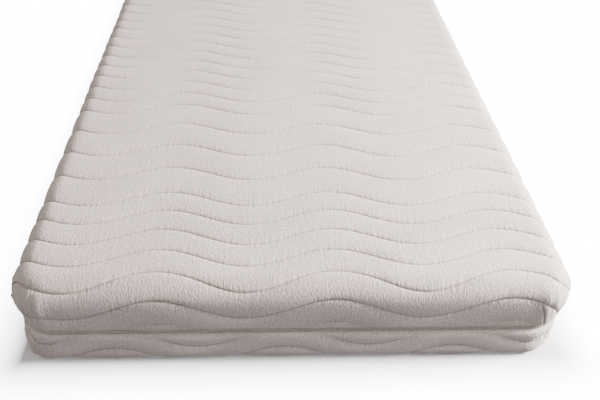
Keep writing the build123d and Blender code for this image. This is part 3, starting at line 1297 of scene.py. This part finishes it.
def ribbon(patch: Patch, route: Route, section: list[tuple[float, float]]) -> None:
    """Add a closed ribbon with end faces that follows a route.

    Args:
        patch: the mesh it is added to.
        route: where it runs.
        section: its outline as (depth past the route, height), closed, in order.
    """
    places = route.stations()
    runs = np.concatenate([[0.0], np.cumsum(np.hypot(np.diff(places[:, 0]), np.diff(places[:, 1])))])
    depth = np.array([p[0] for p in section])
    height = np.array([p[1] for p in section])
    points = np.stack([
        places[:, 0, None] - places[:, 2, None] * depth,
        places[:, 1, None] - places[:, 3, None] * depth,
        np.repeat(height[None, :], len(places), axis=0)], -1)
    fabric = np.stack([np.repeat(runs[:, None], len(section), 1),
                       np.repeat(height[None, :], len(places), 0)], -1)
    size = len(section)
    faces: list[tuple[int, ...]] = []
    for i in range(len(places) - 1):
        for j in range(size):
            k = (j + 1) % size
            faces.append((i * size + j, i * size + k, (i + 1) * size + k, (i + 1) * size + j))
    last = (len(places) - 1) * size
    faces += [tuple(range(size))[::-1], tuple(last + j for j in range(size))]
    patch.add(points, fabric, faces)


def outward(obj: bpy.types.Object) -> None:
    """Turn every face of a closed mesh outwards.

    Args:
        obj: object with a closed mesh.
    """
    work = bmesh.new()
    work.from_mesh(obj.data)
    bmesh.ops.recalc_face_normals(work, faces=work.faces)
    work.to_mesh(obj.data)
    work.free()


def note(obj: bpy.types.Object) -> None:
    """Report a finished piece.

    Args:
        obj: the finished piece.
    """
    obj.data.calc_loop_triangles()
    low = [min(v.co[i] for v in obj.data.vertices) for i in range(3)]
    high = [max(v.co[i] for v in obj.data.vertices) for i in range(3)]
    log.info("%s: %d triangles, %s to %s", obj.name, len(obj.data.loop_triangles),
             [round(c, 4) for c in low], [round(c, 4) for c in high])


# ---------------------------------------------------------------- cover


@dataclass
class CoverHalf:
    """One half of the quilted cover: its knit face, wadding and backing, and what is sewn on it."""

    half: Half
    outline: Outline
    rows: tuple[float, ...]
    face_line: list[tuple[float, float]]
    hem_line: list[tuple[float, float]]
    wave_length: float
    crest: float
    knit_thick: float = 1.2 * MM
    backing_depth: float = 7.0 * MM
    backing_thick: float = 0.95 * MM
    gap: float = 0.08 * MM
    topstitch: float = 3.0 * MM
    needle_sink: float = 0.25 * MM
    flat_reach: float = 25.0 * MM
    rolled_reach: float = 80.0 * MM
    corner_fullness: tuple[float, float] = (0.0, 0.0)
    corner_bulge: float = 0.0
    seams: tuple[float, ...] = ()
    seam_rise: float = 58 * MM
    seam_depth: float = 1.0 * MM
    seam_start: float = 38 * MM
    seam_lines: tuple[float, ...] = (-4.0, -1.8, -0.7, 0.0, 0.7, 1.8, 4.0)
    dart_lean: float = 0.33

    @property
    def body(self) -> str:
        """Body that this half rides on."""
        return f"{self.half.word}_cover"

    @property
    def quilting(self) -> Quilting:
        """The half's sewn pattern."""
        return Quilting(self.rows, wave_length=self.wave_length, crest=self.crest,
                        flat_reach=self.flat_reach, rolled_reach=self.rolled_reach)

    def rim(self, line: list[tuple[float, float]], inset: float = 0.0) -> Rim:
        """Section of a skin at an inset from a line of the outer face."""
        moved = inset_line(line, inset, self.half.value) if inset else line
        return Rim(tuple(moved), self.outline.corner, self.half.value)

    @property
    def outer_rim(self) -> Rim:
        """Section of the knit face, hem and all."""
        return self.rim(self.face_line + self.hem_line[1:])

    @property
    def full_below(self) -> float:
        """Height under which the corners' fullness comes in."""
        return self.outer_rim.points[-1][1] - 2 * MM

    def relief(self) -> Relief:
        """Puffs and gathers of the knit face."""
        return Relief(self.quilting, self.outline, self.outer_rim.total, self.corner_bulge)

    def face_skin(self) -> Skin:
        """Outer side of the knit face."""
        return Skin(self.outer_rim, self.relief(), self.corner_fullness, self.full_below)

    def reaches(self) -> tuple[tuple[float, ...], int]:
        """Fabric reaches of the grid lines past the arc centres, and how many are free of the hem.

        Returns:
            The reaches, and how many come before the hem.
        """
        hem_start = self.rim(self.face_line).total
        total = self.outer_rim.total
        flat = np.linspace(0, self.flat_reach, 4)[1:]
        rolled = np.linspace(self.flat_reach, self.rolled_reach, 10)[1:]
        wall = np.linspace(self.rolled_reach, hem_start - 6 * MM, 6)[1:]
        free = [*flat, *rolled, *wall]
        hem = [*np.linspace(hem_start - 6 * MM, hem_start, 4)[1:], *np.linspace(hem_start, total, 7)[1:]]
        return tuple(float(r) for r in [*free, *hem]), len(free)

    def make_knit(self) -> bpy.types.Object:
        """Knit face, turned in at the hem.

        Returns:
            The piece.
        """
        reaches, free = self.reaches()
        cloth = Cloth(self.outline, reaches, self.quilting, free, step=14.8 * MM)
        relief = self.relief()
        patch = Patch()
        inner = self.rim(self.face_line + self.hem_line[1:], self.knit_thick)
        full, level = self.corner_fullness, self.full_below
        shell(patch, cloth, self.face_skin(), Skin(inner, relief, full, level))
        piece = patch.object(f"{self.half.word}_knit_face")
        for turn in self.seams:
            self.sew_seam(piece, turn)
        if self.half is Half.LOWER:
            self.rest_on_ground(piece)
        KNIT.dress(piece)
        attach(piece, self.body)
        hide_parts(f"{self.half.word}_cover_knit")
        return piece

    def sew_seam(self, piece: bpy.types.Object, turn: float) -> None:
        """Cut lines of points beside a corner seam, sink the cloth along it, and paint shade down it.

        Args:
            piece: the knit face.
            turn: direction of the seam from its corner's centre, in degrees from +X.
        """
        course = Vector((cos(radians(turn)), sin(radians(turn)), 0.0))
        hem = self.outer_rim.points[-1][1]
        across = Vector((-course.y, course.x, self.dart_lean if turn == FOOT_DART else 0.0))
        centre = Vector((self.outline.arc_x * (1 if course.x > 0 else -1),
                         self.outline.arc_y * (1 if course.y > 0 else -1), hem))
        tops = (hem, hem + self.seam_rise) if self.half is Half.UPPER else (hem - self.seam_rise, hem)
        work = bmesh.new()
        work.from_mesh(piece.data)

        def beside(co: Vector, reach: float) -> bool:
            """Whether a point lies beside the seam."""
            past = co - centre
            return past.dot(course) > self.seam_start and abs(past.dot(across)) < reach

        faces = [f for f in work.faces if beside(f.calc_center_median(), 16 * MM)]
        geom = [*{v for f in faces for v in f.verts}, *{e for f in faces for e in f.edges}, *faces]
        for offset in self.seam_lines:
            cut = bmesh.ops.bisect_plane(work, geom=geom, dist=0.02 * MM,
                                         plane_co=centre + across * offset * MM, plane_no=across)
            geom = cut["geom"]
        crease_shade = work.verts.layers.float["crease_shade"]
        for vertex in {g for g in geom if isinstance(g, bmesh.types.BMVert)}:
            if not beside(vertex.co, 8 * MM):
                continue
            near = (vertex.co - centre).dot(across) / MM
            ends = min(vertex.co.z - tops[0], tops[1] - vertex.co.z) / (6 * MM)
            at_hem = self.half is Half.UPPER and vertex.co.z < hem + 20 * MM
            share = min(max(ends + (1.0 if at_hem else 0.0), 0.0), 1.0)
            # Painted shade down the seam's groove, in the same mask as the painted row shade
            vertex[crease_shade] = max(vertex[crease_shade], share * float(np.exp(-((near / 1.0) ** 2))))
            sunk = self.seam_depth * float(np.exp(-((near / 1.5) ** 2)))
            raised = self.seam_depth / 3 * float(np.exp(-(((abs(near) - 4) / 2) ** 2)))
            vertex.co -= course * share * (sunk - raised)
        work.to_mesh(piece.data)
        work.free()

    def rest_on_ground(self, piece: bpy.types.Object) -> None:
        """Flatten what would sink below the surface that the mattress lies on."""
        for vertex in piece.data.vertices:
            vertex.co.z = max(vertex.co.z, 0.0)

    def make_wadding(self) -> bpy.types.Object:
        """Fibre filling between the knit and the backing.

        Returns:
            The piece.
        """
        hem_start = self.rim(self.face_line).total
        reaches = tuple(float(r) for r in [*np.linspace(0, self.flat_reach, 3)[1:],
                                           *np.linspace(self.flat_reach, self.rolled_reach, 8)[1:],
                                           *np.linspace(self.rolled_reach, hem_start, 5)[1:]])
        cloth = Cloth(self.outline, reaches, None, step=15 * MM, row_step=8 * MM)
        relief = Relief(self.quilting, self.outline, self.outer_rim.total, gather=0.0, widen=9 * MM)
        patch = Patch()
        taken = tuple(1.2 * min(full, 0.0) for full in self.corner_fullness)
        shell(patch, cloth,
              Skin(self.rim(self.face_line, self.knit_thick + 6 * self.gap), relief, taken, self.full_below),
              Skin(self.rim(self.face_line, self.backing_depth - self.gap)))
        piece = patch.object(f"{self.half.word}_wadding")
        if self.half is Half.LOWER:
            lift = self.knit_thick + self.gap
            for vertex in piece.data.vertices:
                vertex.co.z = max(vertex.co.z, lift)
        WADDING.dress(piece)
        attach(piece, self.body)
        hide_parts(f"{self.half.word}_cover_wadding")
        return piece

    def make_backing(self) -> bpy.types.Object:
        """Thin fabric that lines the quilt.

        Returns:
            The piece.
        """
        hem_start = self.rim(self.face_line).total
        reaches = tuple(float(r) for r in [*np.linspace(0, self.rolled_reach, 9)[1:],
                                           *np.linspace(self.rolled_reach, hem_start, 4)[1:]])
        cloth = Cloth(self.outline, reaches, None, step=26 * MM, row_step=13 * MM)
        patch = Patch()
        shell(patch, cloth, Skin(self.rim(self.face_line, self.backing_depth)),
              Skin(self.rim(self.face_line, self.backing_depth + self.backing_thick)))
        piece = patch.object(f"{self.half.word}_backing")
        BACKING.dress(piece)
        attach(piece, self.body)
        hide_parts(f"{self.half.word}_cover_backing")
        return piece

    def row_guides(self) -> list[np.ndarray]:
        """Lines of needlework along the sewn rows, a little sunk in the cloth.

        Returns:
            Positions along each line.
        """
        reaches, free = self.reaches()
        cloth = Cloth(self.outline, reaches, self.quilting, free, step=10 * MM)
        across, along = cloth.points()
        strip = len(reaches) - free
        levels = self.quilting.row_lines()
        limit = self.outline.arc_y + reaches[free]
        skin = self.face_skin()
        guides = []
        for row in self.rows:
            index = strip + int(np.argmin(np.abs(levels - row)))
            x, y = across[index], along[index]
            stay = (np.abs(y) < limit - 1e-4) & (np.abs(x) < self.outline.arc_x + reaches[free])
            places = skin.places(cloth, x, y)
            line: list[np.ndarray] = []
            for inside, place in zip(stay, places):
                if inside:
                    line.append(place)
                    continue
                if len(line) > 1:
                    guides.append(np.array(line))
                line = []
            if len(line) > 1:
                guides.append(np.array(line))
        if self.half is Half.LOWER:
            guides = [np.column_stack([g[:, :2], np.maximum(g[:, 2], self.needle_sink)]) for g in guides]
        return guides

    def make_needlework(self) -> bpy.types.Object:
        """Quilting thread along every row."""
        return Stitches("quilting stitches", 8.0 * MM, length=6.4 * MM, thick=0.65 * MM).along(
            f"{self.half.word}_quilting_thread", self.row_guides(), THREAD, self.body)

    def make_topstitch(self) -> bpy.types.Object:
        """Line of stitches beside the hem, all the way round, on the cloth's own surface.

        Returns:
            The piece.
        """
        reaches, _ = self.reaches()
        cloth = Cloth(self.outline, reaches)
        reach = self.rim(self.face_line).total - self.topstitch
        side, end = self.outline.arc_x + reach, self.outline.arc_y + reach
        corners = [(side, -end), (side, end), (-side, end), (-side, -end), (side, -end)]
        spots = [np.linspace(a, b, 181)[:-1] for a, b in zip(corners[:-1], corners[1:])]
        ring = np.concatenate(spots)
        skin = self.face_skin()
        return Stitches("hem topstitch", 4.0 * MM, length=3.1 * MM, thick=0.8 * MM).along(
            f"{self.half.word}_hem_topstitch", [skin.places(cloth, ring[:, 0], ring[:, 1])], THREAD,
            self.body, closed=True)

    def build(self) -> None:
        """Make and dress every piece of this half."""
        knit = self.make_knit()
        wadding = self.make_wadding()
        backing = self.make_backing()
        needlework = self.make_needlework()
        topstitch = self.make_topstitch()
        drop = self.outer_rim.total - self.outline.corner
        drop = self.rim(self.face_line).total - self.outline.corner
        for piece in (knit, wadding, backing, needlework, topstitch):
            note(piece)


def upper_half(outline: Outline) -> CoverHalf:
    """The upper half, whose rows bunch and spread in zones from foot to head.

    Args:
        outline: plan of the mattress.

    Returns:
        The half, ready to build.
    """
    top = CAD_BOUNDS[1][2]
    hem = size_of("upper_cover_knit")[0].z
    shoulder, fold = 35 * MM, 8 * MM
    wall_top, wall_low = top - shoulder, hem + fold
    face = [(outline.corner, top), *arc_points((shoulder, wall_top), (shoulder, shoulder), 90, 180, 20)]
    lean = 3.0 * MM
    for i in range(1, 9):
        share = i / 8
        face.append((lean * share ** 1.8, wall_top + (wall_low - wall_top) * share))
    curl = [(lean + 5 * MM * (1 - cos(radians(a))), wall_low - fold * sin(radians(a)))
            for a in range(0, 91, 10)]
    foot = -outline.length / 2
    wide, close = 79.0 * MM, 52.3 * MM
    rows = sewn_rows(foot + 43 * MM, ((4, close), (4, wide), (17, close), (4, wide), (4, close)), 3)
    return CoverHalf(Half.UPPER, outline, rows, face, curl, wave_length=284 * MM, crest=61 * MM,
                     corner_bulge=4.5 * MM, seams=(*PANEL_SEAMS, FOOT_DART))


def lower_half(outline: Outline) -> CoverHalf:
    """The lower half, whose rows are even from foot to head.

    Args:
        outline: plan of the mattress.

    Returns:
        The half, ready to build.
    """
    hem = size_of("lower_cover_knit")[1].z
    bed = 1.0 * MM
    curve = 11 * MM
    face = [(outline.corner, bed), *arc_points((13.5 * MM, curve), (10 * MM, curve - bed), 270, 180, 14)]
    for share in (0.25, 0.5, 0.75, 1.0):
        face.append(((3.5 - 0.3 * share) * MM, curve + (hem - 8 * MM - curve) * share))
    curl = [((3.2 + 4.8 * (1 - cos(radians(a)))) * MM, hem - 8 * MM + 8 * MM * sin(radians(a)))
            for a in range(0, 91, 10)]
    rows = sewn_rows(-outline.length / 2 - 20.2 * MM, ((1, 43 * MM), (38, 52.3 * MM)), 2)
    return CoverHalf(Half.LOWER, outline, rows, face, curl, wave_length=280 * MM, crest=122 * MM,
                     flat_reach=46 * MM, rolled_reach=63 * MM, corner_fullness=(5 * MM, -3 * MM),
                     seams=PANEL_SEAMS)


# ---------------------------------------------------------------- zip


@dataclass
class ZipSide:
    """One side of the zip: a woven tape sewn behind the hem, and its coil of teeth."""

    half: Half
    outline: Outline
    tape_thick: float = 0.6 * MM
    bead: float = 0.25 * MM
    turn_pitch: float = 2.0 * MM
    stop_gap: float = 0.3 * MM

    @property
    def body(self) -> str:
        """Body that this side rides on."""
        return f"{self.half.word}_cover"

    def ends(self) -> tuple[float, float]:
        """Where the tape starts, after its break, and where it ends before it.

        Returns:
            Start and end along the side.
        """
        stop = size_of(f"{self.half.word}_zip_stop")[1].y
        box = size_of("zip_retainer_box")[0].y
        middle, half_break = (stop + box) / 2, 0.5 * MM
        return middle + half_break, middle - half_break

    def make_tape(self) -> bpy.types.Object:
        """Woven tape with a thicker woven bead along its free edge.

        Returns:
            The piece.
        """
        low, high = size_of(f"{self.half.word}_zip_tape")
        inset = self.outline.width / 2 - high.x
        free, sewn = (low.z, high.z) if self.half is Half.UPPER else (high.z, low.z)
        away = self.half.value
        t, b = self.tape_thick, self.bead
        section = [(0.0, free + away * 2.6 * MM), (0.0, free + away * b), (0.5 * b, free),
                   (t - 0.5 * b, free),
                   (t, free + away * b), (t, free + away * 2.6 * MM), (0.82 * t, free + away * 3.2 * MM),
                   (0.82 * t, sewn - away * b), (0.6 * t, sewn), (0.3 * t, sewn), (0.12 * t, sewn - away * b),
                   (0.12 * t, free + away * 3.2 * MM)]
        start, end = self.ends()
        patch = Patch()
        ribbon(patch, Route(self.outline, inset, start, end), section)
        piece = patch.object(f"{self.half.word}_woven_tape")
        outward(piece)
        # The tape's dark colour is painted shade in the gaps beside the coil
        PAINTED_SHADE_TAPE.dress(piece)
        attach(piece, self.body)
        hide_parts(f"{self.half.word}_zip_tape")
        return piece

    def make_coil(self) -> bpy.types.Object:
        """Turns of the coil, those of one side set half a pitch from the other's.

        Returns:
            The piece.
        """
        low, high = size_of(f"{self.half.word}_zip_coil")
        slider = size_of("zip_slider")[0].y
        stop = size_of(f"{self.half.word}_zip_stop")[0].y
        end = slider - self.stop_gap if self.half is Half.UPPER else stop
        start = size_of("zip_insert_pin")[1].y
        shift = self.turn_pitch / 4 * self.half.value
        inset = self.outline.width / 2 - high.x
        depth = 1.9 * MM
        middle = (low.z + high.z) / 2
        route = Route(self.outline, inset + depth / 2, start + self.turn_pitch / 2 + shift,
                      end - self.turn_pitch / 2 + shift - self.turn_pitch / 4)
        teeth = CoilTeeth(f"{self.half.word} coil turns", self.turn_pitch, depth=depth - 0.55 * MM,
                          rise=high.z - low.z + 0.25 * MM)
        piece = teeth.along(f"{self.half.word}_coil_turns", [route.line(middle)], COIL, self.body)
        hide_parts(f"{self.half.word}_zip_coil")
        return piece

    def make_sewing(self) -> bpy.types.Object:
        """Stitches that hold the coil on the tape.

        Returns:
            The piece.
        """
        low, high = size_of(f"{self.half.word}_zip_tape")
        away = self.half.value
        level = (low.z if self.half is Half.UPPER else high.z) + away * 4.4 * MM
        start, end = self.ends()
        inset = self.outline.width / 2 - high.x
        route = Route(self.outline, inset - 0.05 * MM, start + 3 * MM, end - 3 * MM)
        return Stitches(f"{self.half.word} tape stitches", 3.6 * MM, length=2.8 * MM, thick=0.35 * MM).along(
            f"{self.half.word}_tape_stitches", [route.line(level)], THREAD, self.body)

    def build(self) -> None:
        """Make the tape, the coil and its sewing."""
        tape, coil, sewing = self.make_tape(), self.make_coil(), self.make_sewing()
        for piece in (tape, coil, sewing):
            note(piece)


@dataclass(frozen=True)
class CornerSeams:
    """Turned-in allowances of a half's corner seams, overlocked, inside the cover."""

    half: Half
    outline: Outline
    turns: tuple[float, ...]
    allowance: float = 7.4 * MM
    inset: float = 8.05 * MM
    thick: float = 1.05 * MM

    def strip(self, patch: Patch, turn: float, low: float, high: float) -> list[np.ndarray]:
        """Add one allowance and return the zigzag of its overlocking.

        Args:
            patch: the mesh it is added to.
            turn: direction of the seam from its corner's centre, in degrees from +X.
            low: its lowest level.
            high: its highest level.

        Returns:
            The zigzag line.
        """
        cx = self.outline.arc_x * (1 if cos(radians(turn)) > 0 else -1)
        cy = self.outline.arc_y * (1 if sin(radians(turn)) > 0 else -1)
        out = self.outline.corner - self.inset
        half_turn = self.allowance / 2 / out
        rows, columns = 36, 6

        def place(share: float, level: float, depth: float) -> tuple[float, float, float]:
            """Position of a point of the strip."""
            angle = radians(turn) + half_turn * share
            return cx + (out - depth) * cos(angle), cy + (out - depth) * sin(angle), level

        grid = []
        for i in range(rows + 1):
            level = low + (high - low) * i / rows
            fray = 0.06 * sin(1.7 * i) + 0.04 * sin(3.1 * i + turn)
            loop = [place((1 - fray) * (-1 + 2 * j / columns), level, 0.0) for j in range(columns + 1)]
            fold = 0.16 * MM * sin(0.9 * i)
            loop += [place((1 - fray) * (1 - 2 * j / columns), level,
                           self.thick - 0.25 * MM + fold * sin(pi * j / columns))
                     for j in range(columns + 1)]
            grid.append(loop)
        size = len(grid[0])
        faces: list[tuple[int, ...]] = []
        for i in range(rows):
            for j in range(size):
                k = (j + 1) % size
                faces.append((i * size + j, i * size + k, (i + 1) * size + k, (i + 1) * size + j))
        faces += [tuple(range(size))[::-1], tuple(rows * size + j for j in range(size))]
        flat = [[(j / size * 2 * self.allowance, low + (high - low) * i / rows) for j in range(size)]
                for i in range(rows + 1)]
        patch.add(np.array(grid), np.array(flat), faces)
        steps = int((high - low) / (2.2 * MM))
        depth = self.thick - 0.1 * MM
        return [np.array([place(0.9 if i % 2 else -0.2, low + (high - low) * i / steps, depth)
                          for i in range(1, steps)])]

    def build(self) -> None:
        """Make the allowances and their overlocking."""
        node = f"{self.half.word}_corner_seams"
        low, high = size_of(node)
        patch = Patch()
        lines = [line for turn in self.turns for line in self.strip(patch, turn, low.z, high.z)]
        piece = patch.object(f"{self.half.word}_seam_allowances")
        outward(piece)
        SEAM.dress(piece)
        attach(piece, f"{self.half.word}_cover")
        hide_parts(node)
        sewing = Stitches(f"{self.half.word} overlock", 2.4 * MM, length=2.6 * MM, thick=0.35 * MM).along(
            f"{self.half.word}_seam_overlock", lines, THREAD, f"{self.half.word}_cover")
        note(piece)
        note(sewing)


@dataclass(frozen=True)
class ZipHardware:
    """Slider, pull, stops, pin and box: the frame's own parts, given their finishes."""

    metal: tuple[str, ...] = ("zip_slider", "zip_pull")
    moulded: tuple[str, ...] = ("upper_zip_stop", "lower_zip_stop", "zip_insert_pin", "zip_retainer_box")

    def dress(self) -> None:
        """Assign metal and moulded finishes."""
        for names, finish in ((self.metal, METAL), (self.moulded, ENDS)):
            for name in names:
                finish.dress(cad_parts[name])
                log.info("%s: %s", name, finish.name)


# ---------------------------------------------------------------- foam core


@dataclass
class Core:
    """Foam core: layers cut from foam blocks, in a knitted sleeve."""

    outline: Outline
    sleeve_thick: float = 0.45 * MM
    bevel: float = 1.6 * MM
    seam_pitch: float = 3.4 * MM

    def make_sleeve(self) -> bpy.types.Object:
        """Knitted sleeve drawn tight over the foam, with an overlocked seam round its middle.

        Returns:
            The piece.
        """
        low, high = size_of("core_sleeve")
        middle = (low.z + high.z) / 2
        corner = self.outline.corner - (self.outline.width / 2 - high.x)
        outline = Outline(high.x - low.x, high.y - low.y, corner)
        patch = Patch()
        for facing, face, rounding in ((1, high.z, 24.5 * MM), (-1, low.z, 7.5 * MM)):
            away = facing
            first, last = (90, 180) if facing > 0 else (270, 180)
            centre = face - away * rounding
            line = [(corner, face), *arc_points((rounding, centre), (rounding, rounding), first, last, 12)]
            edge = middle + away * 0.1 * MM
            line += [(0.0, centre + (edge - centre) * share) for share in (0.3, 0.6, 0.85, 1.0)]
            rim = Rim(tuple(line), corner, facing)
            lining = Rim(tuple(inset_line(line, self.sleeve_thick, facing)), corner, facing)
            total = rim.total
            reaches = tuple(float(r) for r in np.linspace(0, total, 17)[1:])
            cloth = Cloth(outline, reaches, None, step=30 * MM, row_step=22 * MM)
            shell(patch, cloth, Skin(rim), Skin(lining))
        piece = patch.object("knitted_sleeve")
        SLEEVE.dress(piece)
        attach(piece, "core")
        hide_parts("core_sleeve")
        return piece

    def make_layer(self, node: str, name: str, finish: Finish) -> bpy.types.Object:
        """A layer cut from a block of foam, its sharp edges eased.

        Args:
            node: the frame's plain solid.
            name: name of the piece.
            finish: its foam.

        Returns:
            The piece.
        """
        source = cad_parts[node]
        work = bmesh.new()
        work.from_mesh(source.data)
        work.transform(source.matrix_world)
        bmesh.ops.remove_doubles(work, verts=work.verts, dist=0.01 * MM)
        bmesh.ops.dissolve_limit(work, angle_limit=radians(1.5), verts=work.verts, edges=work.edges)
        sharp = [e for e in work.edges if len(e.link_faces) == 2 and e.calc_face_angle(0.0) > radians(50)]
        bmesh.ops.bevel(work, geom=sharp, offset=self.bevel, segments=3, profile=0.6, affect="EDGES",
                        clamp_overlap=True)
        bmesh.ops.triangulate(work, faces=work.faces)
        mesh = bpy.data.meshes.new(name)
        work.to_mesh(mesh)
        work.free()
        mesh.shade_smooth()
        mesh.set_sharp_from_angle(angle=radians(40))
        piece = bpy.data.objects.new(name, mesh)
        bpy.context.scene.collection.objects.link(piece)
        finish.dress(piece)
        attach(piece, "core")
        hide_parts(node)
        return piece

    def make_overlock(self) -> bpy.types.Object:
        """Overlocking round the sleeve's middle.

        Returns:
            The piece.
        """
        low, high = size_of("core_sleeve")
        inset = self.outline.width / 2 - high.x
        middle = (low.z + high.z) / 2
        route = Route(self.outline, inset, 0.0, -self.seam_pitch)
        return Stitches("sleeve overlock", self.seam_pitch, length=3.6 * MM, thick=0.5 * MM).along(
            "sleeve_overlock", [route.line(middle)], THREAD, "core")

    def build(self) -> None:
        """Make the layers and then the sleeve."""
        pieces = [
            self.make_layer("comfort_layer", "comfort_foam", VISCO),
            self.make_layer("support_layer", "support_foam", SUPPORT),
            self.make_layer("heel_insert", "heel_foam", SOFT),
            self.make_layer("left_bolster", "left_bolster_foam", FIRM),
            self.make_layer("right_bolster", "right_bolster_foam", FIRM),
            self.make_layer("base_layer", "base_foam", FIRM),
            self.make_sleeve(),
        ]
        overlock = self.make_overlock()
        for piece in (*pieces, overlock):
            note(piece)


# ---------------------------------------------------------------- studio


@dataclass(frozen=True)
class Viewpoint:
    """Camera at the foot of the mattress, looking down along it."""

    place: tuple[float, float, float] = (-0.052, -1.785, 0.933)
    yaw: float = 3.66
    pitch: float = 37.31
    roll: float = -2.14
    lens: float = 42.73

    def build(self) -> None:
        """Make the camera and look through it."""
        yaw, pitch, roll = radians(self.yaw), radians(self.pitch), radians(self.roll)
        ahead = Vector((sin(yaw) * cos(pitch), cos(yaw) * cos(pitch), -sin(pitch)))
        right = Vector((cos(yaw), -sin(yaw), 0.0))
        down = ahead.cross(right)
        level = cos(roll) * right + sin(roll) * down
        drop = -sin(roll) * right + cos(roll) * down
        data = bpy.data.cameras.new("camera")
        data.lens = self.lens
        data.sensor_width = 36.0
        camera = bpy.data.objects.new("camera", data)
        bpy.context.scene.collection.objects.link(camera)
        turned = Matrix((level, -drop, -ahead)).transposed().to_4x4()
        camera.matrix_world = Matrix.Translation(self.place) @ turned
        bpy.context.scene.camera = camera


@dataclass(frozen=True)
class SoftLight:
    """Large studio light that points at the mattress."""

    name: str
    place: tuple[float, float, float]
    size: float
    power: float
    aim: tuple[float, float, float] = (0.0, -0.6, 0.1)
    tint: tuple[float, float, float] = (1.0, 0.955, 0.915)

    def build(self) -> None:
        """Make the light."""
        data = bpy.data.lights.new(self.name, "AREA")
        data.energy = self.power
        data.size = self.size
        data.color = self.tint
        lamp = bpy.data.objects.new(self.name, data)
        bpy.context.scene.collection.objects.link(lamp)
        lamp.location = self.place
        course = Vector(self.aim) - Vector(self.place)
        lamp.rotation_euler = course.to_track_quat("-Z", "Y").to_euler()


@dataclass(frozen=True)
class Studio:
    """Pale floor, even surroundings and soft lights."""

    lights: tuple[SoftLight, ...] = (
        SoftLight("window light", (1.95, -0.85, 0.95), 0.6, 255.0),
        SoftLight("back light", (1.3, 3.2, 1.3), 1.2, 245.0, tint=(1.0, 0.94, 0.88)),
        SoftLight("front fill", (1.6, -3.2, 1.4), 2.2, 54.0, tint=(0.96, 0.95, 1.0)),
        SoftLight("left fill", (-2.4, -0.4, 0.9), 1.6, 26.0, tint=(1.0, 0.93, 0.88)),
    )
    surround: float = 0.16
    floor_size: float = 40.0

    def build(self) -> None:
        """Make the floor, the surroundings and the lights."""
        mesh = bpy.data.meshes.new("studio_floor")
        half = self.floor_size / 2
        corners = [(-half, -half, 0), (half, -half, 0), (half, half, 0), (-half, half, 0)]
        mesh.from_pydata(corners, [], [(0, 1, 2, 3)])
        floor = bpy.data.objects.new("studio_floor", mesh)
        bpy.context.scene.collection.objects.link(floor)
        FLOOR.dress(floor)
        floor.visible_diffuse = False
        floor.visible_glossy = False
        world = bpy.context.scene.world or bpy.data.worlds.new("studio")
        bpy.context.scene.world = world
        world.use_nodes = True
        world.node_tree.nodes["Background"].inputs["Color"].default_value = (1, 0.97, 0.945, 1)
        world.node_tree.nodes["Background"].inputs["Strength"].default_value = self.surround
        for light in self.lights:
            light.build()


def main() -> None:
    """Build the mattress's looks in order."""
    logging.basicConfig(level=logging.INFO, format="%(name)s: %(message)s", stream=sys.stdout)
    Viewpoint().build()
    Studio().build()
    low, high = CAD_BOUNDS
    outline = Outline(high[0] - low[0], high[1] - low[1], 60 * MM)
    Core(outline).build()
    upper_half(outline).build()
    lower_half(outline).build()
    CornerSeams(Half.UPPER, outline, (*PANEL_SEAMS, FOOT_DART)).build()
    CornerSeams(Half.LOWER, outline, PANEL_SEAMS).build()
    for half in Half:
        ZipSide(half, outline).build()
    ZipHardware().dress()


if __name__ == "__main__":
    main()
